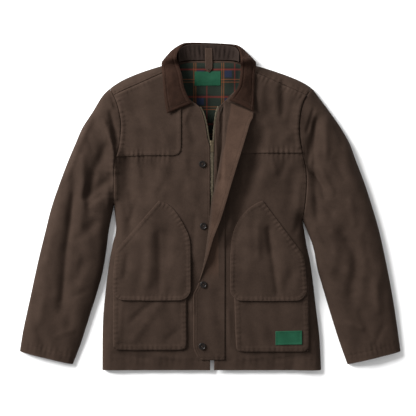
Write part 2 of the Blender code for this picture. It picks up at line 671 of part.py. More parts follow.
def storm_flap(group):
    """Sections of the flap, each set on the front that it lies on. The face is
    inside the fold, so the cloth's other side is turned by a right angle."""
    outer, inner = [], []
    for y, fold, free, roll, rise in FLAP_ROWS:
        path = flap_section(fold, free, roll, rise)
        section = along(path, np.linspace(0, 1, FLAP_COLUMNS))
        run = np.gradient(section, axis=0)
        run /= np.linalg.norm(run, axis=1, keepdims=True)
        x, up = section.T
        slant = FLAP_SLANT * ease(FLAP_SLANT_FROM, FLAP_ROWS[0][0], y)
        ys = y - slant * (x - FLAP_SEAM_X)
        z = top_height(np.minimum(x, FLAP_SEAM_X), ys) + LOOSE_GAP + CANVAS + up
        outer.append(np.stack([x, ys, z], 1))
        inner.append(np.stack([x - CANVAS * run[:, 1], ys, z + CANVAS * run[:, 0]], 1))
    add("storm_flap", wall_mesh("storm_flap", np.array(outer), np.array(inner)), "canvas", group)


def zip_tape(side, name, group):
    """Strip under the front's edge, from the line of teeth outwards."""
    line = upto(smooth_line(TEETH[side], steps=4)[::-1], ZIP_END)[::-1]
    rows = along(line, np.linspace(0, 1, TAPE_ROWS))
    out = np.array([0.25, 6.0, TAPE_WIDTH]) * side
    x = rows[:, None, 0] + out[None]
    plan = np.stack([x, np.broadcast_to(rows[:, 1:], x.shape)], -1)
    outer, normal = skin(plan, top_height, np.zeros(x.shape, bool))
    outer = outer - (CANVAS + LOOSE_GAP) * normal
    add(name, wall_mesh(name, outer, outer - TAPE * normal), "tape", group)


def collar(group):
    """Each section leaves the roll, is drawn over and ends at the leaf's edge,
    as a curve of the second degree with three guiding points."""
    table = np.array(COLLAR)
    for start in (0, 3, 6):
        x, y, z = table[:, start], table[:, start + 1], table[:, start + 2]
        high = z >= OVER / 2
        table[:, start + 2] = np.where(high, z - OVER + top_height(x, y), z)
    stations = smooth_line(table, steps=2)
    t = np.array([0, 0.12, 0.28, 0.46, 0.64, 0.82, 1.0])[None, :, None]
    roll, pull, edge = (stations[:, None, k:k + 3] for k in (0, 3, 6))
    outer = (1 - t) ** 2 * roll + 2 * t * (1 - t) * pull + t**2 * edge
    outer[..., 2] = np.maximum(outer[..., 2], 0.0)
    du = np.gradient(outer, axis=1)
    dv = np.gradient(outer, axis=0)
    normal = np.cross(du, dv)
    normal /= np.linalg.norm(normal, axis=-1, keepdims=True)
    middle = len(stations) // 2
    if normal[middle, -2, 2] > 0:
        normal = -normal
    add("collar", wall_mesh("collar", outer, outer - CORDUROY * normal), "corduroy", group)


def collar_stand(group):
    table = smooth_line(STAND, steps=2)
    t = np.array([0, 0.5, 1.0])[None, :, None]
    low, high = table[:, None, :3], table[:, None, 3:]
    outer = low + t * (high - low)
    inner = outer - np.array([0, 0, CANVAS])
    add("collar_stand", wall_mesh("collar_stand", outer, inner), "canvas", group)


def hanger(group):
    table = np.array(HANGER)
    y, half, z = table[:, :1], table[:, 1:2], table[:, 2:3]
    t = np.array([-1.0, 1.0])[None]
    shape = np.broadcast_to
    inner = np.dstack([HANGER_X + t * half, shape(y, (len(y), 2)), shape(z, (len(z), 2))])
    outer = inner + np.array([0, 0, 1.2])
    add("hanger_tab", wall_mesh("hanger_tab", outer, inner), "canvas", group)


# -------------------------------------------------------------- hard pieces
def button(name, x, y, z, tilt, group):
    """Turned disc with a raised rim, standing LAYER_GAP off the cloth."""
    r, h, dish = BUTTON_RADIUS, BUTTON_THICK, BUTTON_DISH
    profile = [(0, h - dish), (0.69 * r, h - dish), (0.79 * r, h), (0.92 * r, h),
               (r, h - dish), (0.9 * r, 0), (0, 0)]
    mesh = bpy.data.meshes.new(name)
    mesh.from_pydata([(a * MM, 0, b * MM) for a, b in profile], [(k, k + 1) for k in range(6)], [])
    item = add(name, mesh, "button", group)
    turn = item.modifiers.new("turn", "SCREW")
    turn.axis = "Z"
    turn.steps = turn.render_steps = BUTTON_STEPS
    turn.use_merge_vertices = True
    turn.merge_threshold = 0.00001
    gx, gy = slope(top_height, np.array(x), np.array(y), BUTTON_REST)
    normal = Vector((-float(gx), -float(gy), 1.0)).normalized()
    lean = Vector((0, 0, 1)).rotation_difference(normal).to_matrix().to_4x4()
    item.matrix_world = (Matrix.Translation(Vector((x, y, z)) * MM) @ lean
                         @ Matrix.Rotation(math.radians(tilt), 4, "Y"))


def block(name, size, centre, bevel, finish, group):
    shape = bmesh.new()
    bmesh.ops.create_cube(shape, size=1.0)
    bmesh.ops.scale(shape, vec=Vector(size) * MM, verts=shape.verts)
    bmesh.ops.translate(shape, vec=Vector(centre) * MM, verts=shape.verts)
    mesh = bpy.data.meshes.new(name)
    shape.to_mesh(mesh)
    shape.free()
    item = add(name, mesh, finish, group)
    if bevel:
        edge = item.modifiers.new("bevel", "BEVEL")
        edge.width = bevel * MM
        edge.segments = 2
    return item


def zip_slider(group, cutters):
    """Plate over both tapes with a crown on it; gives the height of the axis
    of the hole through the crown."""
    front = float(top_height(np.array(SLIDER_X), np.array(SLIDER_Y)))
    low = front - CANVAS - LOOSE_GAP + SLIDER_OVER_TAPE
    top = low + SLIDER_PLATE[2]
    plate = block("zip_slider", SLIDER_PLATE, (SLIDER_X, SLIDER_Y, (low + top) / 2),
                  0.5, "metal", group)
    crown_z = top - CROWN_SINK + CROWN[2] / 2
    crown = block("zip_slider_crown", CROWN, (SLIDER_X, SLIDER_Y, crown_z), 0.4, None, cutters)
    hole_z = top + HOLE_OVER_PLATE + CROWN_HOLE[2] / 2
    hole = block("zip_slider_hole", CROWN_HOLE, (SLIDER_X, SLIDER_Y, hole_z), 0, None, cutters)
    cut(plate, crown, "UNION")
    cut(plate, hole, "DIFFERENCE")
    return hole_z


def zip_pull_tab(axis_z, group, cutters):
    """Plate with a window round the crown; its bar lies in the crown's hole."""
    hinge = bpy.data.objects.new("zip_pull_hinge", None)
    group.objects.link(hinge)
    hinge.location = Vector((SLIDER_X, SLIDER_Y, axis_z)) * MM
    width, length, thick = TAB_SIZE
    tab = block("zip_pull_tab", (width, length, thick),
                (0, TAB_BAR / 2 - length / 2, 0), 0.3, "metal", group)
    tab.parent = hinge
    window = block("zip_pull_window", (TAB_WINDOW[0], TAB_WINDOW[1] - TAB_BAR / 2, 4),
                   (0, -(TAB_WINDOW[1] + TAB_BAR / 2) / 2, 0), 0, None, cutters)
    window.parent = hinge
    cut(tab, window, "DIFFERENCE")


# --------------------------------------------------------------------- coat
def build():
    clear_scene()
    coat, cutters = collection(COAT), collection("cutters")

    base = {}
    for side, word in ((RIGHT, "right"), (LEFT, "left")):
        plan, rim = front_plan(side)
        base[side] = top_panel("front_" + word, plan, rim, ("far", "start"), coat)
        plan, rim = shoulder_plan(side)
        top_panel("shoulder_" + word, plan, rim, ("near", "start"), coat)
        plan, rim = sleeve_plan(side)
        top_panel("sleeve_top_" + word, plan, rim, ("near",), coat)
        under_panel("sleeve_under_" + word, plan, rim, ("near",), coat)
        bellows_pocket(side, "bellows_pocket_" + word, base[side], coat, cutters)
        hand_pocket(side, "hand_pocket_" + word, base[side], coat, cutters)
        zip_tape(side, "zip_tape_" + word, coat)

    plan, rim = back_plan()
    under_panel("back", plan, rim, ("start", "end"), coat)
    back = skin(plan, under_height, np.zeros_like(rim))

    slab("shoulder_patch", base[RIGHT], LAYER_GAP, LAYER_GAP + CANVAS, rounded(PATCH),
         "canvas", coat, cutters)
    slab("front_yoke", base[LEFT], LAYER_GAP, LAYER_GAP + CANVAS, rounded(YOKE),
         "canvas", coat, cutters)
    label_low = pocket_face(LEFT, base[LEFT]) + LAYER_GAP
    slab("pocket_label", base[LEFT], label_low, label_low + LABEL, rounded(POCKET_LABEL),
         "label", coat, cutters)

    lining_low = CANVAS + LAYER_GAP
    slab("back_lining", back, lining_low, lining_low + LINING, rounded(BACK_LINING),
         "lining", coat, cutters)
    label_low = lining_low + LINING + LAYER_GAP
    slab("neck_label", back, label_low, label_low + LABEL, rounded(NECK_LABEL),
         "label", coat, cutters)

    storm_flap(coat)
    collar(coat)
    collar_stand(coat)
    hanger(coat)
    for count, (x, y, on_flap, tilt) in enumerate(BUTTONS, 1):
        z = float(top_height(np.array(x), np.array(y))) + 2 * LAYER_GAP
        if on_flap:
            z += LOOSE_GAP + CANVAS + BUTTON_RADIUS * math.sin(math.radians(tilt))
        button("button_%d" % count, x, y, z, tilt, coat)
    axis_z = zip_slider(coat, cutters)
    zip_pull_tab(axis_z, coat, cutters)


build()
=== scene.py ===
"""Looks of the field coat: cloth, corduroy, plaid, sewing, zip and buttons.

Laid out as an add-on and run as a script. Tables and working values are in
millimetres, as in the part's source, and a mesh gets its points in metres when
it is made. The wearer's right side lies at -X.
"""
import math

import bpy
import numpy as np
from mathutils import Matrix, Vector


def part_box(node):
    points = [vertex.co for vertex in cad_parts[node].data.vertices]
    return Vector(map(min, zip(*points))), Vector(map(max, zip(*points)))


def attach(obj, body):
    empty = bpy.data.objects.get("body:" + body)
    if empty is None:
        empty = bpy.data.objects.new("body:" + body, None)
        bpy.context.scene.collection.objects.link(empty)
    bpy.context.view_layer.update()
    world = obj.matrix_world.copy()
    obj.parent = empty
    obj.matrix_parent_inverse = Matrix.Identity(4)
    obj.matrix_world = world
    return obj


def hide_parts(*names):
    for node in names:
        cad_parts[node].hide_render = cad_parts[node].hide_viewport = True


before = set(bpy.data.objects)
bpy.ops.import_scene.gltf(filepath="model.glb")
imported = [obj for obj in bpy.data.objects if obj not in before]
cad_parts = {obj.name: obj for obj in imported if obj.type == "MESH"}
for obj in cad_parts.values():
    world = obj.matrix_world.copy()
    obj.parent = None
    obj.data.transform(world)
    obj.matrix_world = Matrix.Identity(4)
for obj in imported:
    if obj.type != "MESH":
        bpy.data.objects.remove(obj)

bl_info = {
    "name": "Field coat looks",
    "version": (1, 0, 0),
    "blender": (4, 5, 0),
    "location": "3D View > Sidebar > Coat",
    "description": "Dresses the packed field coat in cloth, sewing and hardware",
    "category": "Object",
}

MM = 0.001
RIGHT, LEFT = -1, 1
WORD = {RIGHT: "right", LEFT: "left"}
BODY = "coat"
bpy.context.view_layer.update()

# ------------------------------------------------------- sizes of the solids
SEAM_GAP, LAYER_GAP, LOOSE_GAP = 0.2, 0.3, 0.8
SEAM_HEIGHT, EDGE_ROUND, EDGE_CURL, ARMHOLE_BLEND = 5.0, 48.0, 6.0, 30.0
COLLAR_LIFT, LIFT_RISE, LIFT_END = 4.6, (288.0, 314.0), (150.0, 190.0)
FLAP_SEAM_X, FLAP_SLANT, FLAP_SLANT_FROM = 36.3, 0.4, 195.0
TAPE_WIDTH, TEETH_WIDTH, ZIP_END = 14.0, 5.0, -370.0
FRONT_HEM, BACK_HEM = -402.0, -400.0
SLEEVE_HEM_INNER, SLEEVE_HEM_OUTER = -388.0, -356.0
GUSSET, POCKET_PUFF = 5.4, 0.5
POCKET_MIDDLE, POCKET_HALF = (148.0, -262.0), (92.0, 90.0)
MOUTH_Y, FLAP_RAMP = -172.0, (-96.0, -160.0)
BUTTON_RADIUS, BUTTON_THICK = 8.5, 3.2
CLOTH = 2.0
PATCH_SEAM_Y, YOKE_SEAM_Y, SLIDER_Y = 119.0, 128.6, 148.0
# Share of the armhole, from the underarm, where the forward seam meets it.
FORWARD_SHARE = 0.93
FLOOR_HALF, FLOOR_Z = 9.0, -0.0002

# Outer edge of shoulder and sleeve, neck to past the cuff. x grows outwards.
#               x     y
OUTER_EDGE = {
    RIGHT: [(80, 354), (117, 345.5), (172, 328), (216, 309), (246, 289),
            (265, 270), (289, 231), (314, 192), (331, 153), (348, 113),
            (370, 55), (390, -4), (405, -63), (424, -141), (441, -220),
            (458, -298), (467, -352), (474, -400)],
    LEFT: [(78, 354), (111, 346), (169, 328), (218, 309), (249, 290),
           (265, 270), (294, 231), (321, 192), (343, 153), (358, 113),
           (380, 55), (399, -4), (416, -63), (433, -141), (448, -220),
           (460, -298), (468.6, -361), (474, -400)],
}
# Inner edge of the sleeve, underarm to past the cuff.
SLEEVE_INNER = {
    RIGHT: [(236, 3), (248, -56), (255, -110), (264, -163), (279, -217),
            (293, -261), (318, -339), (337, -388), (348, -420)],
    LEFT: [(227, -34), (252, -97), (264, -156), (281, -215), (299, -275),
           (316, -329), (336, -385), (348, -420)],
}
# Side of the body, underarm to past the hem.
BODY_SIDE = {
    RIGHT: [(236, 3), (231, -57), (239, -92), (249, -146), (260, -237),
            (264, -300), (265, -402), (266, -440)],
    LEFT: [(227, -34), (237, -95), (246, -137), (253, -188), (260, -247),
           (269, -323), (273, -402), (275, -440)],
}
# Armhole seam seen from the front, underarm to the head of the sleeve.
ARMHOLE = {
    RIGHT: [(236, 3), (234, 84), (231, 112), (222, 145), (217, 194),
            (221, 228), (231, 260), (246, 289)],
    LEFT: [(227, -34), (235, 40), (234, 90), (224, 135), (218, 172),
           (218, 210), (227, 254), (249, 290)],
}
# Line of the zip's teeth, hem to neck: one run below the slider, two above.
TEETH = {
    RIGHT: [(5, -372), (5, -330), (5, -240), (5, -80), (4.8, 40), (4.5, 110), (4, 146),
            (-1, 164), (-6, 196), (-13, 224), (-22, 243)],
    LEFT: [(5, -372), (5, -330), (5, -240), (5, -80), (5, 40), (5.3, 110), (5.5, 146),
           (6, 164), (8.5, 196), (12, 224), (18, 243)],
}
# Rest of the neck edge under the collar, teeth to shoulder. x grows outwards.
NECK_EDGE = {
    RIGHT: [(48, 259), (68, 284), (77, 312), (88, 338)],
    LEFT: [(44, 264), (66, 286), (79, 316), (87, 338)],
}
# Full height of the top above the floor, away from the edges.
#             y    body sleeve
HEIGHTS = [(-402, 15.0, 22.0), (-360, 21.0, 24.0), (-300, 26.5, 28.0),
           (-160, 34.0, 34.0), (0, 40.0, 38.0), (130, 42.5, 40.0),
           (260, 40.0, 40.0), (350, 34.0, 38.0)]

# Main folds of the top: those of the solids, some set nearer to the photograph.
#        x0    y0    x1    y1  width depth
FOLDS = [(-328, 66, -340, -20, 15, -4.5), (-340, -20, -352, -110, 15, -4.0),
         (-352, -110, -364, -262, 17, -3.5), (-350, 150, -328, 66, 14, -2.0),
         (-284, 79, -304, 13, 13, -4.5),
         (-228, 78, -304, 20, 19, -4.5), (-257, 208, -235, 103, 16, 3.5),
         (-274, -34, -300, -60, 18, -4.0), (-300, -130, -340, -190, 20, -2.5),
         (262, 218, 245, 138, 14, -5.0), (245, 138, 237, 104, 12, -3.5),
         (235, 101, 264, 69, 11, -4.0), (264, 69, 281, 15, 12, -3.5),
         (318, -58, 357, -120, 20, -4.5), (357, -120, 350, -220, 20, -3.5),
         (300, -160, 345, -195, 16, -2.5), (330, 140, 360, 40, 20, 2.0),
         (-204, 118, -194, -78, 24, -7.0), (-229, 90, -233, -70, 8, 1.5),
         (-150, 110, -165, 20, 26, -2.5),
         (-95, 90, -60, 10, 24, -2.0), (178, 300, 176, 215, 13, -3.0),
         (205, 90, 195, -20, 20, -3.0), (140, -52, 152, -120, 16, -2.5),
         (170, 110, 120, 60, 30, 2.0), (-160, 215, -120, 160, 26, 1.5),
         (-146, -60, -152, -195, 17, 2.0), (-104, -55, -112, -185, 19, -2.5),
         (129, 190, 90, 40, 20, -4.5), (90, 40, 48, -105, 18, -4.0),
         (254, 95, 262, -35, 14, -3.5), (95, -70, 92, -190, 20, 1.5),
         (205, -150, 180, -210, 18, -2.0)]

# The same folds drawn tighter and deeper for the shown cloth.
FOLD_TIGHTER, FOLD_DEEPER, CREASE_DEEPER = 0.78, 1.8, 1.9
SHARP_FOLDS = [(*row[:4], FOLD_TIGHTER * row[4], FOLD_DEEPER * row[5]) for row in FOLDS]

# Finer creases read from the photograph, and like ones where it shows none.
#          x0    y0    x1    y1  width depth
CREASES = [
    # right sleeve
    (-246, 197, -236, 140, 6, 2.2), (-236, 140, -235, 52, 6, 2.2), (-243, 232, -226, 150, 6, -2.6),
    (-245, 280, -230, 238, 5, -2.4), (-250, 150, -290, 75, 11, -2.6), (-290, 216, -321, 150, 11, 2.2),
    (-321, 150, -348, 74, 11, 2.2), (-310, 126, -305, -21, 9, 1.8), (-250, 52, -246, -4, 8, 1.8),
    (-262, 30, -300, 2, 7, -1.8), (-310, 30, -318, -60, 10, 1.2), (-268, -20, -310, -8, 8, -1.0),
    (-366, 20, -376, -70, 10, 1.2), (-300, -70, -340, -84, 9, -1.0), (-385, -60, -400, -140, 10, 1.4),
    (-318, -110, -328, -175, 10, 1.0), (-395, -150, -385, -215, 10, -0.8), (-300, -205, -335, -220, 8, -0.8),
    (-405, -215, -418, -290, 10, 1.2), (-340, -250, -350, -315, 10, -0.9), (-330, -300, -380, -318, 8, 0.8),
    (-425, -300, -400, -345, 9, -1.2), (-275, 245, -285, 200, 9, -1.4), (-300, 180, -285, 130, 8, -1.2),
    (-262, 150, -262, 72, 15, -2.6), (-333, 30, -350, -109, 6, -1.6),
    (-350, -109, -362, -234, 7, -1.4), (-290, 219, -353, 62, 6, 1.6), (-235, 278, -223, 236, 5, -1.6),
    (-259, 211, -236, 140, 6, 1.4),
    # left sleeve
    (257, 212, 254, 95, 7, -2.6), (254, 84, 280, 42, 5, -1.9), (277, 210, 281, 110, 9, 1.6),
    (284, 216, 284, 126, 11, 2.2), (252, 236, 236, 180, 5, -2.0), (268, 92, 300, 30, 8, 1.6),
    (305, 120, 330, 60, 10, -1.8), (256, 20, 300, -20, 9, -1.8), (340, 20, 352, -50, 10, 1.8),
    (290, -60, 330, -80, 8, 1.6), (375, -70, 390, -150, 10, -1.4), (330, -150, 372, -176, 9, 1.6),
    (312, -210, 360, -235, 9, -1.6), (405, -180, 412, -260, 10, 1.4), (365, -255, 395, -325, 10, -1.6),
    (335, -285, 375, -300, 8, 1.4), (425, -290, 400, -345, 9, -1.2), (310, 200, 326, 150, 9, -1.4),
    (262, -60, 300, -110, 8, -1.4),
    # right front
    (-213, 130, -190, 99, 6, -1.8), (-180, 118, -172, 70, 7, 1.0), (-140, 118, -128, 80, 7, -0.9),
    (-110, 60, -128, 25, 9, -1.1), (-60, 120, -50, 40, 8, 0.8), (-35, -20, -42, -110, 7, -0.9),
    (-205, 40, -195, -30, 7, 1.2), (-175, 20, -198, -40, 7, -1.1), (-40, -150, -44, -260, 6, 0.9),
    (-246, -200, -252, -330, 5, -1.0), (-150, 250, -100, 215, 12, -1.2), (-200, 200, -150, 185, 12, 1.0),
    (-95, 300, -84, 230, 9, -1.2), (-120, 200, -105, 150, 9, 0.9), (-205, 270, -180, 225, 10, -1.0),
    (-55, 215, -36, 150, 8, -1.0), (-48, 245, -62, 205, 7, 1.0), (-240, -360, -150, -372, 6, -0.9),
    (-130, -366, -50, -374, 6, 0.7),
    (-150, -240, -196, -285, 9, -1.5), (-120, -235, -190, -330, 11, 1.1), (-75, -300, -110, -330, 9, -1.1),
    (-200, -115, -208, -176, 8, -1.4), (-125, -60, -122, -215, 9, -1.5), (-215, -240, -222, -330, 7, 0.8),
    # left front
    (116, -38, 118, -129, 9, 1.6), (142, -53, 165, -217, 8, -2.0), (218, 60, 214, -10, 8, 1.2),
    (60, 110, 74, 40, 9, -1.0), (190, 118, 170, 70, 9, -1.2), (150, 118, 160, 80, 7, 0.9),
    (110, 108, 98, 40, 10, -0.9), (225, -20, 205, -70, 8, -1.3), (46, 40, 52, -60, 7, 0.8),
    (130, 300, 120, 230, 10, 1.0), (205, 260, 190, 200, 10, -1.4), (150, 240, 110, 190, 12, -1.0),
    (95, 210, 118, 150, 10, 0.9), (210, 190, 170, 150, 10, 1.0), (252, -200, 258, -330, 5, -1.0),
    (31, 250, 27, 60, 7, -2.2), (17, 232, 20, 150, 2.4, -0.8), (22, 225, 23, 120, 2.2, 0.7),
    (15, 160, 17, 80, 2.4, 0.7), (25, 190, 22, 90, 2.4, -0.7), (14, 120, 19, 100, 3, -0.7),
    (240, -366, 160, -374, 6, -0.8), (130, -370, 60, -376, 6, 0.7), (46, -250, 48, -340, 5, 0.8),
]
# Soft troughs of the back and the under sleeves, which lift them off the floor.
UNDER_CREASES = [(-180, 240, -120, 150, 14, 1.3), (160, 250, 110, 120, 15, 1.5),
                 (-60, 180, -20, 60, 16, 1.2), (60, 20, 90, -120, 18, 1.4),
                 (-160, 10, -110, -140, 17, 1.6), (-30, -150, 20, -270, 15, 1.2),
                 (150, -200, 200, -310, 14, 1.3), (-210, -220, -150, -330, 15, 1.1),
                 (-300, 130, -330, 20, 12, 1.4), (-350, -60, -390, -190, 12, 1.2),
                 (-360, -240, -400, -330, 12, 1.1), (300, 140, 335, 20, 12, 1.3),
                 (340, -60, 390, -180, 12, 1.3), (370, -250, 410, -330, 12, 1.0)]

# Storm flap rows: y, fold, free edge, radius of the fold, rise of the edge.
FLAP_ROWS = [(256, 40.0, 106.0, 1.5, 4.0), (226, 39.0, 103.0, 2.5, 7.5),
             (195, 36.0, 95.0, 4.0, 12.0), (151, 32.0, 82.0, 5.0, 16.0),
             (96, 23.0, 65.0, 6.0, 18.0), (50, 14.0, 51.0, 6.0, 17.0),
             (9, 4.7, 39.0, 6.0, 16.0), (-33, 0.5, 26.0, 6.0, 15.0),
             (-74, -4.4, 10.0, 6.0, 13.0), (-127, -12.0, -6.0, 5.0, 10.0),
             (-160, -19.0, -17.0, 2.0, 4.0), (-181, -25.5, -25.0, 0.5, 1.0),
             (-199, -33.5, -33.5, 0.0, 0.0), (-215, -41.0, -41.0, 0.0, 0.0),
             (-240, -41.0, -41.0, 0.0, 0.0), (-290, -41.0, -41.0, 0.0, 0.0),
             (-340, -41.0, -41.0, 0.0, 0.0), (-358, -36.0, -36.0, 0.0, 0.0),
             (-370, -29.0, -29.0, 0.0, 0.0), (-377, -20.0, -20.0, 0.0, 0.0)]

# Buttons down the right front, the lower two on the flap: x, y, tilt in degrees.
BUTTONS = [(-18.6, 102.4, 0.0), (-16.4, -48.3, 0.0), (-16.2, -190.4, 2.0), (-19.4, -341.5, 5.0)]

# Collar sections, right tip to left tip: roll, guiding point, leaf edge. A z
# of 1000 or more is counted from the coat's top.
OVER = 1000.0
COLLAR = [(-43, 249, OVER + 7, -72, 239, OVER + 10, -104, 225, OVER + 6),
          (-54, 267, OVER + 9, -80, 260, OVER + 12, -108, 243, OVER + 6),
          (-63, 289, OVER + 10, -88, 285, OVER + 13, -112, 272, OVER + 6),
          (-69, 321, OVER + 11, -94, 318, OVER + 15, -115, 308, OVER + 6),
          (-77, 344, OVER + 11, -101, 345, OVER + 19, -118, 334, OVER + 7),
          (-81, 357, 46.0, -107, 363, 48.0, -119, 350, 25.0),
          (-81, 369, 39.0, -112, 377, 28.0, -114, 352, 7.0),
          (-77, 381, 30.0, -104, 398, 6.0, -98, 342, 0.0),
          (-70, 391, 21.0, -84, 413, 0.0, -76, 327, 0.0),
          (-58, 398.5, 14.0, -66, 415, 0.0, -54, 323, 0.0),
          (-30, 400.5, 10.0, -33, 413, 0.0, -28, 321, 0.0),
          (5, 399.5, 9.5, 5, 412, 0.0, 4, 320, 0.0),
          (38, 397.5, 11.0, 40, 410, 0.0, 34, 321, 0.0),
          (62, 393, 15.0, 70, 411, 0.0, 58, 323, 0.0),
          (70, 385, 23.0, 86, 408, 0.0, 76, 327, 0.0),
          (73, 374, 34.0, 103, 391, 6.0, 94, 341, 0.0),
          (74, 362, 45.0, 106, 373, 30.0, 110, 351, 7.0),
          (74, 350, 55.0, 101, 358, 52.0, 113, 349, 26.0),
          (74, 335, OVER + 19, 97, 340, OVER + 22, 111, 331, OVER + 8),
          (72, 312, OVER + 20, 93, 316, OVER + 20, 109, 306, OVER + 7),
          (68, 290, OVER + 19, 88, 291, OVER + 18, 108, 275, OVER + 7),
          (57, 273, OVER + 16, 80, 270, OVER + 18, 107, 250, OVER + 10),
          (45, 257, OVER + 13, 74, 247, OVER + 18, 105, 230, OVER + 13)]
STAND = [(-76, 352, 24.0, -77, 377, 30.0), (-66, 356, 16.0, -68, 387, 20.0),
         (-50, 358, 9.5, -54, 394, 13.0), (-25, 358.6, 8.2, -28, 396.5, 9.6),
         (5, 358.8, 7.8, 5, 395.5, 9.0), (32, 358.6, 8.2, 35, 393.5, 10.4),
         (52, 358, 9.5, 57, 389.5, 14.0), (64, 356, 16.0, 66, 382, 21.5),
         (70, 352, 26.0, 70, 371, 33.0)]
HANGER = [(388, 8.5, 9.3), (372, 9.0, 9.0), (358, 9.0, 9.3), (346, 9.0, 9.9),
          (337, 8.0, 10.2), (329, 1.5, 10.2)]
HANGER_X = -3.0

# Four sides of what is sewn on the fronts, each a row of (x, y): near and far
# run from the first to the second corner, start and end from near to far.
HAND_SIDES = {
    RIGHT: {"near": [(-228.8, -220.8), (-219.7, -226.9), (-209, -229), (-142, -229.6),
                     (-75, -229), (-64.3, -226.9), (-55.2, -220.8)],
            "far": [(-230, -108), (-124, 14)],
            "start": [(-228.8, -220.8), (-234.9, -211.7), (-237, -201), (-236, -165), (-232, -122),
                      (-230, -108)],
            "end": [(-55.2, -220.8), (-49.1, -211.7), (-47, -201), (-47, -145), (-48.5, -84),
                    (-61, -49), (-84, -12), (-103, 5), (-124, 14)]},
    LEFT: {"near": [(57.2, -221.8), (66.3, -227.9), (77, -230), (142, -230.6), (208, -230),
                    (218.7, -227.9), (227.8, -221.8)],
           "far": [(128, 14), (228, -119)],
           "start": [(57.2, -221.8), (51.1, -212.7), (49, -202), (49, -145), (50, -108), (54, -74),
                     (67, -38), (89, -10), (109, 5), (128, 14)],
           "end": [(227.8, -221.8), (233.9, -212.7), (236, -202), (234.5, -170), (231, -132),
                   (228, -119)]},
}
BELLOWS_SIDES = {
    RIGHT: {"near": [(-232, -347), (-221, -351.5), (-140, -352), (-73, -351.5), (-61, -347)],
            "far": [(-237, MOUTH_Y), (-57, MOUTH_Y)],
            "start": [(-232, -347), (-237, -337), (-237, -260), (-237, MOUTH_Y)],
            "end": [(-61, -347), (-57, -337), (-57, -260), (-57, MOUTH_Y)]},
    LEFT: {"near": [(68, -351), (80, -355.5), (150, -356), (226, -355.5), (237, -351)],
           "far": [(57, MOUTH_Y), (240, MOUTH_Y)],
           "start": [(68, -351), (63.5, -341), (60, -260), (57, MOUTH_Y)],
           "end": [(237, -351), (242, -341), (241, -260), (240, MOUTH_Y)]},
}


# ------------------------------------------------------------------- curves
def smooth_line(rows, steps=8):
    """Curve through rows p: b + t(c-a)/2 + t^2(a-2.5b+2c-d/2) + t^3(3b-3c+d-a)/2
    between b and c, with a before them and d after them."""
    p = np.asarray(rows, float)
    p = np.vstack([2 * p[0] - p[1], p, 2 * p[-1] - p[-2]])
    t = np.arange(steps)[:, None] / steps
    runs = []
    for k in range(1, len(p) - 2):
        a, b, c, d = p[k - 1], p[k], p[k + 1], p[k + 2]
        runs.append(b + 0.5 * t * (c - a) + t**2 * (a - 2.5 * b + 2 * c - 0.5 * d)
                    + t**3 * (1.5 * (b - c) + 0.5 * (d - a)))
    return np.vstack(runs + [p[-2:-1]])


def lengths(line):
    """Run of a line from its start to each of its points."""
    return np.concatenate([[0.0], np.cumsum(np.linalg.norm(np.diff(line, axis=0), axis=1))])


def along(line, fractions):
    """Points at fractions of the line's length, by straight interpolation."""
    run = lengths(line)
    at = np.asarray(fractions) * run[-1]
    return np.stack([np.interp(at, run, line[:, k]) for k in range(line.shape[1])], 1)


def x_at(rows, y):
    """Where a smoothed line crosses given heights of the plan."""
    line = smooth_line(rows)
    order = np.argsort(line[:, 1])
    return np.interp(y, line[order, 1], line[order, 0])


def upto(line, y_end):
    """The stretch of a falling line above y_end, closed with a point there."""
    keep = line[line[:, 1] > y_end + 1e-6]
    below = line[len(keep)]
    share = (keep[-1, 1] - y_end) / (keep[-1, 1] - below[1])
    return np.vstack([keep, keep[-1] + share * (below - keep[-1])])


def sided(rows, side):
    """A table of the left side, mirrored for the side asked for, as a smooth line."""
    return smooth_line([(side * x, y) for x, y in rows])


def ease(low, high, value):
    """0 below low, 1 above high, and three t squared less two t cubed between."""
    t = np.clip((value - low) / (high - low), 0.0, 1.0)
    return t * t * (3 - 2 * t)


def bell(offset, width):
    """1 at zero, falling as e to the minus square of offset over width."""
    return np.exp(-((offset / width) ** 2))


def rounding(offset, radius):
    """Quarter circle: 0 at an edge, 1 from the radius on."""
    return np.sqrt(np.clip(1 - (1 - np.clip(offset / radius, 0, 1)) ** 2, 0, 1))


def coons(near, far, start, end):
    """Grid filling four edges: the two ruled surfaces added, less the plane
    through the corners."""
    u = (lengths(near) / lengths(near)[-1])[None, :, None]
    v = (lengths(start) / lengths(start)[-1])[:, None, None]
    corners = ((1 - v) * ((1 - u) * near[0] + u * near[-1])
               + v * ((1 - u) * far[0] + u * far[-1]))
    return ((1 - v) * near[None] + v * far[None]
            + (1 - u) * start[:, None] + u * end[:, None] - corners)


def shares(length, step, fine=(0.0, 0.35, 0.9, 1.9)):
    """Places from 0 to 1 along a length in mm: close at both ends, where an
    edge is rounded, and a step apart between."""
    inner = np.linspace(2 * fine[-1], length - 2 * fine[-1],
                        max(3, int(round((length - 4 * fine[-1]) / step)) + 1))
    ends = np.asarray(fine)
    return np.concatenate([ends, inner, length - ends[::-1]]) / length


def near_line(x, y, line):
    """Distance to a polyline, and the place along it in mm."""
    best, place = np.full(np.shape(x), 1e9), np.zeros(np.shape(x))
    run = lengths(line)
    for k in range(len(line) - 1):
        (ax, ay), (bx, by) = line[k], line[k + 1]
        span = max((bx - ax) ** 2 + (by - ay) ** 2, 1e-9)
        t = np.clip(((x - ax) * (bx - ax) + (y - ay) * (by - ay)) / span, 0, 1)
        d = np.hypot(x - ax - t * (bx - ax), y - ay - t * (by - ay))
        closer = d < best
        best = np.where(closer, d, best)
        place = np.where(closer, run[k] + t * math.sqrt(span), place)
    return best, place


def offset_line(line, distance):
    """The line moved to its left by a distance."""
    run = np.gradient(line, axis=0)
    run /= np.linalg.norm(run, axis=1, keepdims=True)
    return line + distance * np.stack([-run[:, 1], run[:, 0]], 1)


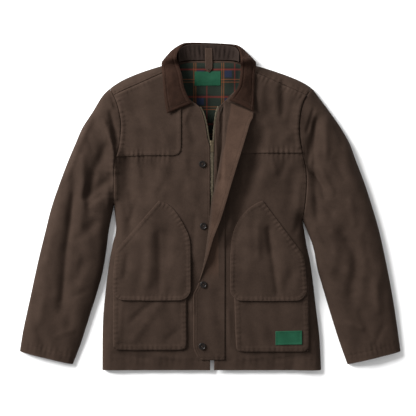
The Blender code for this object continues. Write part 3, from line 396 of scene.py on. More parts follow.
# ------------------------------------------------------------------ heights
def edge_lines(side):
    """Outer edge of one side, and its inner edge from the cuff to the hem."""
    inner = np.vstack([sided(SLEEVE_INNER[side], side)[::-1], sided(BODY_SIDE[side], side)[1:]])
    return sided(OUTER_EDGE[side], side), inner


EDGES = {side: edge_lines(side) for side in (RIGHT, LEFT)}


def edge_distance(x, y):
    """Distance from each point to the nearest edge of its own side."""
    nearest = np.full(np.shape(x), 1e9)
    for side in (RIGHT, LEFT):
        here = side * x > -1e-9
        for line in EDGES[side]:
            if here.any():
                nearest[here] = np.minimum(nearest[here], near_line(x[here], y[here], line)[0])
    return nearest


def full_height(x, y):
    """Height away from the edges: the body's table, eased to the sleeve's
    across the armhole."""
    table = np.asarray(HEIGHTS)
    body = np.interp(y, table[:, 0], table[:, 1])
    sleeve = np.interp(y, table[:, 0], table[:, 2])
    hole = np.where(x < 0, x_at(ARMHOLE[RIGHT], y), x_at(ARMHOLE[LEFT], y))
    return body + (sleeve - body) * ease(-ARMHOLE_BLEND, ARMHOLE_BLEND, np.abs(x) - hole)


def within(x0, y0, x1, y1, reach, x, y):
    """Which points lie in the box between two corners, widened by a reach."""
    return ((x > min(x0, x1) - reach) & (x < max(x0, x1) + reach)
            & (y > min(y0, y1) - reach) & (y < max(y0, y1) + reach))


def folded(rows, x, y):
    """Sum of depth times a bell across each row's line."""
    total = np.zeros(np.shape(x))
    for x0, y0, x1, y1, width, depth in rows:
        near = within(x0, y0, x1, y1, 3 * width, x, y)
        if near.any():
            line = np.array([(x0, y0), (x1, y1)], float)
            total[near] += depth * bell(near_line(x[near], y[near], line)[0], width)
    return total


def creased(rows, x, y):
    """Sum of a groove or ridge along each row's line: a bell across it, and along
    it a soft step up and down, so that rows which meet run on evenly."""
    total = np.zeros(np.shape(x))
    for x0, y0, x1, y1, width, depth in rows:
        near = within(x0, y0, x1, y1, 3 * width, x, y)
        if near.any():
            length = math.hypot(x1 - x0, y1 - y0)
            across, up = (x1 - x0) / length, (y1 - y0) / length
            place = (x[near] - x0) * across + (y[near] - y0) * up
            offset = (x[near] - x0) * up - (y[near] - y0) * across
            ends = 0.5 * (np.tanh(1.3 * place / width) + np.tanh(1.3 * (length - place) / width))
            total[near] += depth * bell(offset, width) * ends
    return total


def ripple(place, length):
    """Uneven wave along a seam: a sine whose phase and height wander."""
    return (np.sin(2 * math.pi * place / length + 0.9 * np.sin(place / (1.3 * length)))
            * (0.72 + 0.28 * np.sin(place / (0.9 * length) + 1.3)))


def seam_lines():
    """Seams that pull the cloth: line, wave length, depth, reach, groove."""
    rows = []
    for side in (RIGHT, LEFT):
        hole = sided(ARMHOLE[side], side)[::2]
        rows.append((hole, 15.0, 0.75, 15.0, 1.5))
        forward = np.array([forward_point(side), neck_front_point(side)])
        rows.append((forward, 14.0, 0.7, 16.0, 1.2))
        rows.append((np.array([(side * 262, -377.0), (side * 8, -377.0)]), 15.0, 0.6, 12.0, 0.9))
        cuff = cuff_line(side, 20.0)
        rows.append((cuff, 12.0, 0.75, 12.0, 0.8))
    rows.append((np.array([(-236.0, 119.5), (-200.0, 121.5), (-97.0, 122.5)]), 11.0, 1.3, 15.0, 0.4))
    rows.append((np.array([(-69.0, 150.0), (-70.0, 300.0)]), 16.0, 0.5, 12.0, 0.4))
    rows.append((np.array([(41.0, 128.0), (236.0, 128.6)]), 12.0, 1.1, 15.0, 0.4))
    return rows


def forward_point(side):
    """Where the forward seam meets the armhole."""
    return along(sided(ARMHOLE[side], side), [FORWARD_SHARE])[0]


def neck_front_point(side):
    """Where the forward seam meets the neck edge."""
    x, y = NECK_EDGE[side][-1]
    return np.array([side * x, float(y)])


def cuff_line(side, above):
    """Line across the sleeve a distance above the cuff's edge."""
    inner = upto(sided(SLEEVE_INNER[side], side), SLEEVE_HEM_INNER + above)[-1]
    outer = upto(sided(OUTER_EDGE[side], side), SLEEVE_HEM_OUTER + above)[-1]
    return np.array([inner, outer])


SEAMS = []


def seam_relief(x, y):
    """Puckers and grooves at the seams, added to the top's height."""
    if not SEAMS:
        SEAMS.extend(seam_lines())
    total = np.zeros(np.shape(x))
    for line, length, depth, reach, groove in SEAMS:
        near = within(*line.min(0), *line.max(0), 3 * reach, x, y)
        if near.any():
            d, s = near_line(x[near], y[near], line)
            total[near] += (depth * ripple(s, length) * bell(d, reach) * rounding(d + 1.0, 6.0)
                            - groove * bell(d, 1.8))
    return total


def slack(x, y):
    """Soft undulation along the cloth: waves across x whose place and height
    wander with y."""
    slow = 0.5 + 0.5 * np.sin(y / 49.0 + x / 83.0 + 0.7)
    return (0.75 * slow * np.sin((x + 11.0 * np.sin(y / 43.0 + 1.0)) / 6.4)
            + 0.9 * (1 - slow) * np.sin((x - 14.0 * np.sin(y / 67.0)) / 10.3 + 2.0)
            + 0.5 * np.sin((y + 8.0 * np.sin(x / 29.0)) / 11.0 + x / 40.0))


def slope_away(x, y):
    """The body falls away from the middle to the armholes."""
    across = ease(45.0, 215.0, np.abs(x)) * (1 - 0.8 * ease(225.0, 320.0, np.abs(x)))
    return -7.0 * across * ease(-60.0, 60.0, y) * (1 - 0.5 * ease(230.0, 300.0, y))


def top_height(x, y):
    """Solid's top skin with the finer creases and the pull of the seams."""
    x, y = np.asarray(x, float), np.asarray(y, float)
    t = np.clip(edge_distance(x, y) / EDGE_ROUND, 0, 1)
    rise = np.sqrt(1 - (1 - t) ** 2)
    fine = CREASE_DEEPER * creased(CREASES, x, y) + seam_relief(x, y) + slack(x, y)
    large = creased(SHARP_FOLDS, x, y) + slope_away(x, y)
    return (SEAM_HEIGHT + (full_height(x, y) - SEAM_HEIGHT + large) * rise
            + fine * ease(0.0, 0.3, t))


def plain_top(x, y):
    """Top skin with the main folds alone, for the zip, the buttons and the collar."""
    x, y = np.asarray(x, float), np.asarray(y, float)
    t = np.clip(edge_distance(x, y) / EDGE_ROUND, 0, 1)
    rise = np.sqrt(1 - (1 - t) ** 2)
    return SEAM_HEIGHT + (full_height(x, y) - SEAM_HEIGHT + folded(FOLDS, x, y)) * rise


def under_height(x, y):
    """Skin on the floor: a lift under the collar, a curl at the folded edges."""
    x, y = np.asarray(x, float), np.asarray(y, float)
    t = np.clip(edge_distance(x, y) / EDGE_CURL, 0, 1)
    lift = COLLAR_LIFT * ease(*LIFT_RISE, y) * (1 - ease(*LIFT_END, np.abs(x)))
    lift = lift + folded(UNDER_CREASES, x, y)
    return lift + (SEAM_HEIGHT - lift) * (1 - np.sqrt(1 - (1 - t) ** 2))


def grid_normals(points):
    """Unit cross product of the grid's two directions, turned upwards."""
    across, down = np.gradient(points, axis=1), np.gradient(points, axis=0)
    normal = np.cross(across, down)
    normal /= np.maximum(np.linalg.norm(normal, axis=-1, keepdims=True), 1e-9)
    if normal[..., 2].mean() < 0:
        normal = -normal
    return normal


def lifted_points(line, height):
    """Points and upward normals of a height function along a line."""
    x, y = line[:, 0], line[:, 1]
    h = 0.7
    gx = (height(x + h, y) - height(x - h, y)) / (2 * h)
    gy = (height(x, y + h) - height(x, y - h)) / (2 * h)
    normal = np.stack([-gx, -gy, np.ones_like(gx)], 1)
    normal /= np.linalg.norm(normal, axis=1, keepdims=True)
    return np.column_stack([x, y, height(x, y)]), normal


# ------------------------------------------------------------------- meshes
def new_object(name, points, faces, uv=None, wear=None, smooth=True, reverse=None):
    """Mesh object from points in mm, quads or triangles, and point values."""
    mesh = bpy.data.meshes.new(name)
    mesh.from_pydata((np.asarray(points) * MM).tolist(), [], np.asarray(faces).tolist())
    if smooth:
        mesh.shade_smooth()
    if uv is not None:
        layer = mesh.uv_layers.new(name="cloth")
        index = np.empty(len(mesh.loops), np.int32)
        mesh.loops.foreach_get("vertex_index", index)
        layer.data.foreach_set("uv", np.asarray(uv, np.float32)[index].ravel())
    # Point values: rubbed wear, and the painted highlight of the storm flap's turned part.
    for label, values in (("wear", wear), ("reverse", reverse)):
        if values is not None:
            layer = mesh.attributes.new(label, "FLOAT", "POINT")
            layer.data.foreach_set("value", np.asarray(values, np.float32).ravel())
    item = bpy.data.objects.new(name, mesh)
    bpy.context.scene.collection.objects.link(item)
    return item


def wall(name, outer, inner, uv=None, wear=None, reverse=None):
    """Closed wall between two skins of the same grid, faces outwards."""
    rows, columns = outer.shape[:2]
    index = np.arange(rows * columns).reshape(rows, columns)
    a, b = index[:-1, :-1].ravel(), index[:-1, 1:].ravel()
    c, d = index[1:, 1:].ravel(), index[1:, :-1].ravel()
    front = np.stack([a, b, c, d], 1)
    rim = np.concatenate([index[0, :-1], index[:-1, -1], index[-1, :0:-1], index[:0:-1, 0]])
    ahead, back = np.roll(rim, -1), rows * columns
    sides = np.stack([ahead, rim, rim + back, ahead + back], 1)
    faces = np.concatenate([front, front[:, ::-1] + back, sides])
    points = np.concatenate([outer.reshape(-1, 3), inner.reshape(-1, 3)])
    p = points[faces]
    volume = (np.einsum("ij,ij->i", p[:, 0], np.cross(p[:, 1], p[:, 2])).sum()
              + np.einsum("ij,ij->i", p[:, 0], np.cross(p[:, 2], p[:, 3])).sum())
    if volume < 0:
        faces = faces[:, ::-1]
    both = None if uv is None else np.concatenate([uv.reshape(-1, 2)] * 2)
    worn = None if wear is None else np.concatenate([wear.ravel()] * 2)
    turned = None if reverse is None else np.concatenate([reverse.ravel()] * 2)
    return new_object(name, points, faces, both, worn, reverse=turned)


def border_distance(points):
    """Distance of each grid point to the grid's border, in mm."""
    def run(axis):
        step = np.linalg.norm(np.diff(points, axis=axis), axis=-1)
        total = np.cumsum(step, axis=axis)
        pad = [(0, 0), (0, 0)]
        pad[axis] = (1, 0)
        total = np.pad(total, pad)
        end = np.take(total, [-1], axis=axis)
        return np.minimum(total, end - total)
    return np.minimum(run(0), run(1))


def panel_uv(points):
    """Runs along both directions of the grid in metres."""
    across = np.linalg.norm(np.diff(points, axis=1), axis=-1).mean(0)
    down = np.linalg.norm(np.diff(points, axis=0), axis=-1).mean(1)
    u = np.concatenate([[0.0], np.cumsum(across)])
    v = np.concatenate([[0.0], np.cumsum(down)])
    return np.stack(np.broadcast_arrays(u[None, :], v[:, None]), -1) * MM


def skin_wall(name, outer, thickness, down=True, wear=None, uv=None):
    """Wall under a skin, its rim rounded: the two skins close in towards each
    other over the last millimetre."""
    normal = grid_normals(outer)
    for row in (0, 1):
        normal[row], normal[-1 - row] = normal[3], normal[-4]
    for column in (0, 1):
        normal[:, column], normal[:, -1 - column] = normal[:, 3], normal[:, -4]
    gap = thickness * (1 - rounding(border_distance(outer), 0.55 * thickness)) * 0.42
    sign = 1.0 if down else -1.0
    top = outer - sign * gap[..., None] * normal
    low = outer - sign * (thickness - gap)[..., None] * normal
    return wall(name, top, low, uv, wear)


# ----------------------------------------------------- materials and effects
class Graph:
    """Short ways to add nodes and links to a node tree."""

    def __init__(self, tree):
        self.tree, self.count = tree, 0

    def node(self, kind, **settings):
        made = self.tree.nodes.new(kind)
        made.location = (180 * (self.count % 8), -220 * (self.count // 8))
        self.count += 1
        for key, value in settings.items():
            setattr(made, key, value)
        return made

    def put(self, socket, value):
        if hasattr(value, "is_output"):
            self.tree.links.new(value, socket)
        else:
            socket.default_value = value

    def math(self, operation, *values, clamp=False):
        made = self.node("ShaderNodeMath", operation=operation, use_clamp=clamp)
        for socket, value in zip(made.inputs, values):
            self.put(socket, value)
        return made.outputs[0]

    def mix(self, factor, a, b, blend="MIX"):
        made = self.node("ShaderNodeMix", data_type="RGBA", blend_type=blend)
        self.put(made.inputs[0], factor)
        self.put(made.inputs[6], a)
        self.put(made.inputs[7], b)
        return made.outputs[2]

    def noise(self, vector, scale, detail=3.0, roughness=0.55):
        made = self.node("ShaderNodeTexNoise")
        self.put(made.inputs["Vector"], vector)
        self.put(made.inputs["Scale"], scale)
        self.put(made.inputs["Detail"], detail)
        self.put(made.inputs["Roughness"], roughness)
        return made.outputs["Fac"]

    def range(self, value, low, high, to_low=0.0, to_high=1.0):
        made = self.node("ShaderNodeMapRange")
        for socket, item in zip(made.inputs, (value, low, high, to_low, to_high)):
            self.put(socket, item)
        return made.outputs[0]

    def group(self, name, **inputs):
        made = self.node("ShaderNodeGroup", node_tree=bpy.data.node_groups[name])
        for key, value in inputs.items():
            self.put(made.inputs[key], value)
        return made.outputs


def new_group(name, inputs, outputs):
    """Node group with named sockets, as (name, kind, default) and (name, kind)."""
    tree = bpy.data.node_groups.new(name, "ShaderNodeTree")
    for label, kind, default in inputs:
        socket = tree.interface.new_socket(label, in_out="INPUT", socket_type=kind)
        if default is not None:
            socket.default_value = default
    for label, kind in outputs:
        tree.interface.new_socket(label, in_out="OUTPUT", socket_type=kind)
    graph = Graph(tree)
    return graph, graph.node("NodeGroupInput").outputs, graph.node("NodeGroupOutput").inputs


FLOAT, VECTOR = "NodeSocketFloat", "NodeSocketVector"


def build_effects():
    """Node groups shared by the finishes: cloth grain, wear, ribs and stripes."""
    g, given, out = new_group("cloth_grain", [("Vector", VECTOR, None), ("Pitch", FLOAT, 1.1)],
                              [("Height", FLOAT), ("Tone", FLOAT)])
    split = g.node("ShaderNodeSeparateXYZ")
    g.put(split.inputs[0], given["Vector"])
    per = g.math("DIVIDE", 2 * math.pi / MM, given["Pitch"])
    wander = g.noise(given["Vector"], 260.0, 2.0)
    warp = g.math("SINE", g.math("ADD", g.math("MULTIPLY", split.outputs[0], per),
                                 g.math("MULTIPLY", wander, 5.0)))
    weft = g.math("SINE", g.math("ADD", g.math("MULTIPLY", split.outputs[1], per),
                                 g.math("MULTIPLY", wander, 4.0)))
    slub = g.noise(given["Vector"], 900.0, 3.0, 0.7)
    weave = g.math("MULTIPLY", g.math("ADD", warp, weft), 0.25)
    g.put(out["Height"], g.math("ADD", weave, slub))
    blotch = g.noise(given["Vector"], 26.0, 5.0, 0.62)
    speck = g.noise(given["Vector"], 420.0, 4.0, 0.75)
    tone = g.math("ADD", g.range(blotch, 0.3, 0.7, -0.5, 0.5),
                  g.range(speck, 0.3, 0.7, -0.6, 0.6))
    g.put(out["Tone"], tone)

    g, given, out = new_group("rubbed", [("Vector", VECTOR, None), ("Wear", FLOAT, 0.0)],
                              [("Mask", FLOAT)])
    broken = g.noise(given["Vector"], 150.0, 4.0, 0.7)
    g.put(out["Mask"], g.math("MULTIPLY", given["Wear"], g.range(broken, 0.3, 0.75, 0.15, 1.0),
                              clamp=True))

    g, given, out = new_group("ribs", [("Vector", VECTOR, None), ("Pitch", FLOAT, 1.6)],
                              [("Height", FLOAT), ("Tone", FLOAT)])
    split = g.node("ShaderNodeSeparateXYZ")
    g.put(split.inputs[0], given["Vector"])
    per = g.math("DIVIDE", math.pi / MM, given["Pitch"])
    rib = g.math("ABSOLUTE", g.math("SINE", g.math("MULTIPLY", split.outputs[1], per)))
    nap = g.noise(given["Vector"], 700.0, 3.0, 0.7)
    g.put(out["Height"], g.math("ADD", g.math("POWER", rib, 0.6), g.math("MULTIPLY", nap, 0.5)))
    crush = g.noise(given["Vector"], 45.0, 4.0, 0.6)
    # Tone of the ribs: painted shade, darker in the grooves between them, plus crushed patches of nap.
    g.put(out["Tone"], g.math("ADD", g.range(rib, 0.0, 1.0, -0.5, 0.25),
                              g.range(crush, 0.3, 0.7, -0.5, 0.5)))

    g, given, out = new_group("stripe", [("Place", FLOAT, 0.0), ("Centre", FLOAT, 0.0),
                                         ("Repeat", FLOAT, 67.0), ("Half", FLOAT, 2.0)],
                              [("Mask", FLOAT)])
    turn = g.math("ADD", g.math("SUBTRACT", given["Place"], given["Centre"]),
                  g.math("MULTIPLY", given["Repeat"], 20.5))
    local = g.math("SUBTRACT", g.math("MODULO", turn, given["Repeat"]),
                   g.math("MULTIPLY", given["Repeat"], 0.5))
    away = g.math("SUBTRACT", g.math("ABSOLUTE", local), given["Half"])
    g.put(out["Mask"], g.range(away, 0.8, -0.8))


def finish_material(name, colour, roughness, metallic=0.0):
    """New material with its shader set and its texture places ready."""
    made = bpy.data.materials.new(name)
    made.use_nodes = True
    graph = Graph(made.node_tree)
    shader = made.node_tree.nodes["Principled BSDF"]
    shader.location = (1700, 0)
    shader.inputs["Base Color"].default_value = (*colour, 1)
    shader.inputs["Roughness"].default_value = roughness
    shader.inputs["Metallic"].default_value = metallic
    made.diffuse_color = (*colour, 1)
    place = graph.node("ShaderNodeTexCoord").outputs
    return made, graph, shader, place


def bump(graph, shader, height, strength, distance):
    """Height as a bump, its distance in mm, on the shader's normal."""
    made = graph.node("ShaderNodeBump")
    graph.put(made.inputs["Height"], height)
    made.inputs["Strength"].default_value = strength
    made.inputs["Distance"].default_value = distance * MM
    graph.put(shader.inputs["Normal"], made.outputs[0])


def shade(colour, factor):
    """A colour made lighter or darker by a factor, kept under 1."""
    return (*[min(1.0, c * factor) for c in colour], 1)


def cloth_material(name, colour, pitch, depth, sheen, worn=1.9, uv=False):
    """Woven cloth: grain bump, mottled tone and paler rubbed edges."""
    made, g, shader, place = finish_material(name, colour, 0.9)
    spot = place["UV"] if uv else place["Object"]
    grain = g.group("cloth_grain", Vector=spot, Pitch=pitch)
    dark, pale = shade(colour, 0.72), shade(colour, 1.30)
    tone = g.mix(g.range(grain["Tone"], -0.9, 0.9), dark, pale)
    wear = g.node("ShaderNodeAttribute", attribute_name="wear").outputs["Fac"]
    mask = g.group("rubbed", Vector=place["Object"], Wear=wear)["Mask"]
    # Painted highlight: the turned part of the storm flap, marked by a point attribute, is made about half
    # again paler, standing in for the light it catches.
    turned = g.node("ShaderNodeAttribute", attribute_name="reverse").outputs["Fac"]
    tone = g.mix(turned, tone, g.mix(1.0, tone, (1.55, 1.44, 1.38, 1), "MULTIPLY"))
    g.put(shader.inputs["Base Color"], g.mix(mask, tone, shade(colour, worn)))
    g.put(shader.inputs["Roughness"], g.range(grain["Tone"], -1.0, 1.0, 0.98, 0.84))
    bump(g, shader, grain["Height"], 0.55, depth)
    shader.inputs["Sheen Weight"].default_value = sheen
    shader.inputs["Sheen Roughness"].default_value = 0.55
    shader.inputs["Sheen Tint"].default_value = shade(colour, 9.0)
    shader.inputs["Specular IOR Level"].default_value = 0.05
    return made


def corduroy_material(name, colour):
    """Fine ribs along the cloth, crushed in patches, with a soft nap sheen."""
    made, g, shader, place = finish_material(name, colour, 0.95)
    rib = g.group("ribs", Vector=place["UV"], Pitch=1.7)
    # Paler on the ribs, darker in their grooves as painted shade.
    tone = g.mix(g.range(rib["Tone"], -0.9, 0.7), shade(colour, 0.55), shade(colour, 1.45))
    wear = g.node("ShaderNodeAttribute", attribute_name="wear").outputs["Fac"]
    mask = g.group("rubbed", Vector=place["Object"], Wear=wear)["Mask"]
    g.put(shader.inputs["Base Color"], g.mix(mask, tone, shade(colour, 2.2)))
    bump(g, shader, rib["Height"], 0.7, 0.45)
    shader.inputs["Sheen Weight"].default_value = 0.16
    shader.inputs["Sheen Roughness"].default_value = 0.4
    shader.inputs["Sheen Tint"].default_value = shade(colour, 12.0)
    shader.inputs["Specular IOR Level"].default_value = 0.05
    return made


def plaid_material(name, ground, green, navy, red, orange):
    """Brushed plaid: green bars, navy blocks where two bars cross, red and orange
    lines, each where its distance from the nearest repeat is under half its width."""
    made, g, shader, place = finish_material(name, ground, 0.95)
    split = g.node("ShaderNodeSeparateXYZ")
    g.put(split.inputs[0], place["Object"])
    soft = g.math("MULTIPLY", g.noise(place["Object"], 600.0, 2.0), 1.2)
    x = g.math("ADD", g.math("MULTIPLY", split.outputs[0], 1 / MM), soft)
    y = g.math("ADD", g.math("MULTIPLY", split.outputs[1], 1 / MM), soft)
    colour = (*ground, 1)
    bars = [(x, 14.0, 68.5, 13.0, green, 0.6), (y, 290.0, 67.0, 14.0, green, 0.6),
            (x, 61.0, 68.5, 1.2, red, 0.6), (y, 336.4, 67.0, 1.5, red, 0.65),
            (y, 336.4, 67.0, 3.5, red, 0.12),
            (x, 29.2, 68.5, 0.8, orange, 0.6), (x, 34.1, 68.5, 0.8, orange, 0.6),
            (y, 311.9, 67.0, 0.9, orange, 0.5), (y, 305.5, 67.0, 0.9, orange, 0.5)]
    blocks = [g.group("stripe", Place=run, Centre=centre, Repeat=repeat, Half=half)["Mask"]
              for run, centre, repeat, half in ((x, 45.0, 68.5, 9.0), (y, 325.5, 67.0, 8.5))]
    colour = g.mix(g.math("MULTIPLY", blocks[0], blocks[1]), colour, (*navy, 1))
    for run, centre, repeat, half, tint, share in bars:
        mask = g.group("stripe", Place=run, Centre=centre, Repeat=repeat, Half=half)["Mask"]
        colour = g.mix(g.math("MULTIPLY", mask, share), colour, (*tint, 1))
    fuzz = g.noise(place["Object"], 800.0, 4.0, 0.8)
    g.put(shader.inputs["Base Color"],
          g.mix(g.range(fuzz, 0.3, 0.75, 0.0, 0.35), colour, shade(ground, 2.5)))
    bump(g, shader, fuzz, 0.6, 0.5)
    shader.inputs["Sheen Weight"].default_value = 0.05
    shader.inputs["Specular IOR Level"].default_value = 0.05
    return made


def metal_material(name, colour):
    """Antique brass: brighter where it is high, dull and dark in patches."""
    made, g, shader, place = finish_material(name, colour, 0.4, 1.0)
    patch = g.noise(place["Object"], 420.0, 5.0, 0.65)
    mask = g.range(patch, 0.38, 0.62)
    g.put(shader.inputs["Base Color"], g.mix(mask, shade(colour, 0.5), shade(colour, 1.5)))
    g.put(shader.inputs["Roughness"], g.range(patch, 0.3, 0.7, 0.52, 0.28))
    bump(g, shader, g.noise(place["Object"], 1600.0, 3.0), 0.25, 0.08)
    return made


def horn_material(name, colour):
    """Polished dark horn with faint paler streaks under a clear coat."""
    made, g, shader, place = finish_material(name, colour, 0.28)
    turn = g.node("ShaderNodeMapping")
    turn.inputs["Scale"].default_value = (1.0, 0.25, 1.0)
    g.put(turn.inputs[0], place["Object"])
    streak = g.noise(turn.outputs[0], 520.0, 4.0, 0.6)
    g.put(shader.inputs["Base Color"],
          g.mix(g.range(streak, 0.4, 0.75), (*colour, 1), shade(colour, 2.2)))
    g.put(shader.inputs["Roughness"], g.range(streak, 0.3, 0.7, 0.34, 0.2))
    bump(g, shader, streak, 0.15, 0.08)
    shader.inputs["Specular IOR Level"].default_value = 0.14
    shader.inputs["Coat Weight"].default_value = 0.07
    shader.inputs["Coat Roughness"].default_value = 0.1
    return made


def label_material(name, colour):
    """Satin-woven label: fine weft ribs in two tones."""
    made, g, shader, place = finish_material(name, colour, 0.7)
    rib = g.group("ribs", Vector=place["Object"], Pitch=0.7)
    # Painted shade in the grooves between the ribs.
    g.put(shader.inputs["Base Color"],
          g.mix(g.range(rib["Tone"], -0.9, 0.7), shade(colour, 0.7), shade(colour, 1.25)))
    g.put(shader.inputs["Roughness"], g.range(rib["Tone"], -1.0, 1.0, 0.8, 0.6))
    bump(g, shader, rib["Height"], 0.4, 0.15)
    shader.inputs["Sheen Weight"].default_value = 0.04
    shader.inputs["Specular IOR Level"].default_value = 0.12
    return made


MATERIALS = {}


def material(finish):
    """The finish's material, made once from the colours in the settings."""
    if finish in MATERIALS:
        return MATERIALS[finish]
    if "cloth_grain" not in bpy.data.node_groups:
        build_effects()
    look = bpy.context.scene.coat_colours
    tint = {key: tuple(getattr(look, key)) for key in look.bl_rna.properties.keys()
            if key not in ("rna_type", "name")}
    if finish == "canvas":
        made = cloth_material("canvas", tint["canvas"], 0.72, 0.2, 0.05)
    elif finish == "facing":
        # Painted shade: a darker copy of the canvas for the stand inside the neck.
        made = cloth_material("canvas_facing", tint["facing"], 0.72, 0.2, 0.04)
    elif finish == "tape":
        made = cloth_material("zip_tape", tint["tape"], 0.9, 0.2, 0.05)
    elif finish == "thread":
        made = cloth_material("thread", tint["thread"], 0.5, 0.12, 0.1)
    elif finish == "corduroy":
        made = corduroy_material("corduroy", tint["corduroy"])
    elif finish == "lining":
        made = plaid_material("plaid", tint["lining"], tint["plaid_green"], tint["plaid_navy"],
                              tint["plaid_red"], tint["plaid_orange"])
    elif finish == "label":
        made = label_material("woven_label", tint["label"])
    elif finish == "brass":
        made = metal_material("antique_brass", tint["brass"])
    elif finish == "teeth":
        made = metal_material("zip_teeth", tint["teeth"])
    else:
        made = horn_material("dark_horn", tint["horn"])
    MATERIALS[finish] = made
    return made


def dress(item, finish, slot, nodes=()):
    """Gives a piece its finish, its slot and its body, and hides its solids."""
    item.data.materials.append(material(finish))
    if nodes:
        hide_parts(*nodes)
    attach(item, BODY)
    return item


def declare(item):
    """Declares a piece of cloth with the cut that it has before it is laid."""
    return item


# -------------------------------------------------------------------- panels
def side_points(side, hem_y, fractions):
    """Points on the body's side seam, hem to underarm."""
    line = upto(sided(BODY_SIDE[side], side), hem_y)[::-1]
    return along(line, fractions)


def armhole_points(side, fractions):
    """Points on the armhole, underarm to the shoulder's edge."""
    return along(sided(ARMHOLE[side], side), fractions)


def front_edge(side):
    """Front's free edge: hem, beside the teeth, then the neck edge."""
    rise = [(side * x, y) for x, y in NECK_EDGE[side]]
    teeth = [(x + side * TEETH_WIDTH, y) for x, y in TEETH[side]]
    hem = [(teeth[0][0] - side * 0.5, FRONT_HEM)]
    return smooth_line(hem + teeth + rise)


def front_start(side):
    """Side seam and armhole up to the forward seam, as one line."""
    return np.vstack([side_points(side, FRONT_HEM, np.linspace(0, 1, 60))[:-1],
                      armhole_points(side, np.linspace(0, FORWARD_SHARE, 50))])


def front_plan(side, step=3.6):
    """Grid of a front: hem to forward seam, side seam to free edge."""
    line = front_start(side)
    rows = shares(lengths(line)[-1], step)
    start, end = along(line, rows), along(front_edge(side), rows)
    width = shares(abs(start[0, 0] - end[0, 0]), step)
    hem = along(np.array([start[0], end[0]]), width)
    shoulder = along(np.array([start[-1], end[-1]]), width)
    return coons(hem, shoulder, start, end)


def shrink(plan, gap=SEAM_GAP):
    """Moves all four borders of a plan grid inwards by the seam gap."""
    plan = plan.copy()
    every = slice(None)
    for edge, inner in (((0, every), (3, every)), ((-1, every), (-4, every)),
                        ((every, 0), (every, 3)), ((every, -1), (every, -4))):
        step = plan[inner] - plan[edge]
        plan[edge] += gap * step / np.maximum(np.linalg.norm(step, axis=-1, keepdims=True), 1e-9)
    return plan


def raised(plan, height):
    """A plan grid lifted to a height function."""
    return np.dstack([plan[..., 0], plan[..., 1], height(plan[..., 0], plan[..., 1])])


def seam_wear(points, base=0.0):
    """Rubbed look: highest at the border, fading over the next millimetres."""
    d = border_distance(points)
    return base + 0.55 * bell(d, 2.2) + 0.22 * bell(d, 8.0)


def make_fronts():
    """Both fronts, a skin wall each, and their shoulder pieces."""
    for side in (RIGHT, LEFT):
        name = "front_" + WORD[side]
        plan = shrink(front_plan(side))
        outer = raised(plan, top_height)
        item = skin_wall(name + "_cloth", outer, CLOTH, wear=seam_wear(outer), uv=panel_uv(outer))
        declare(dress(item, "canvas", "canvas", [name]))
        make_shoulder(side)


def make_shoulder(side):
    """The back's cloth over the shoulder, forward seam to the ridge."""
    name = "shoulder_" + WORD[side]
    head = armhole_points(side, np.linspace(FORWARD_SHARE, 1, 12))
    ridge_line = sided(OUTER_EDGE[side], side)
    ridge_line = ridge_line[ridge_line[:, 1] >= head[-1, 1] - 1e-6][::-1].copy()
    ridge_line[0] = head[-1]
    seam = np.array([forward_point(side), neck_front_point(side)])
    width = shares(lengths(seam)[-1], 3.0)
    near, far = along(seam, width), along(ridge_line, width)
    rows = shares(lengths(head)[-1], 2.5)
    start = along(head, rows)
    end = along(np.array([near[-1], far[-1]]), rows)
    outer = raised(shrink(coons(near, far, start, end)), top_height)
    item = skin_wall(name + "_cloth", outer, CLOTH, wear=seam_wear(outer), uv=panel_uv(outer))
    declare(dress(item, "canvas", "canvas", [name]))


def sleeve_plan(side, step):
    """Armhole (first row) to cuff, inner edge (first column) to outer edge."""
    hole = armhole_points(side, np.linspace(0, 1, 80))
    inner = upto(sided(SLEEVE_INNER[side], side), SLEEVE_HEM_INNER)
    outer = sided(OUTER_EDGE[side], side)
    outer = outer[outer[:, 1] <= hole[-1, 1] + 1e-6]
    outer = upto(np.vstack([hole[-1:], outer[1:]]), SLEEVE_HEM_OUTER)
    width = shares(lengths(hole)[-1], step * 1.7)
    rows = shares(lengths(outer)[-1], step)
    near = along(hole, width)
    start, end = along(inner, rows), along(outer, rows)
    cuff = along(np.array([start[-1], end[-1]]), width)
    return coons(near, cuff, start, end)


def make_sleeves():
    """Top sleeves over the seam's height and under sleeves below it."""
    for side in (RIGHT, LEFT):
        word = WORD[side]
        plan = shrink(sleeve_plan(side, 3.3))
        outer = raised(plan, top_height)
        outer[..., 2] = np.maximum(outer[..., 2], SEAM_HEIGHT + 0.15)
        top = skin_wall("sleeve_top_%s_cloth" % word, outer, CLOTH, wear=seam_wear(outer),
                        uv=panel_uv(outer))
        declare(dress(top, "canvas", "canvas", ["sleeve_top_" + word]))
        plan = shrink(sleeve_plan(side, 6.0))
        outer = raised(plan, under_height)
        outer[..., 2] = np.minimum(outer[..., 2], SEAM_HEIGHT - 0.15)
        under = skin_wall("sleeve_under_%s_cloth" % word, outer, CLOTH, down=False,
                          wear=seam_wear(outer), uv=panel_uv(outer))
        declare(dress(under, "canvas", "canvas", ["sleeve_under_" + word]))


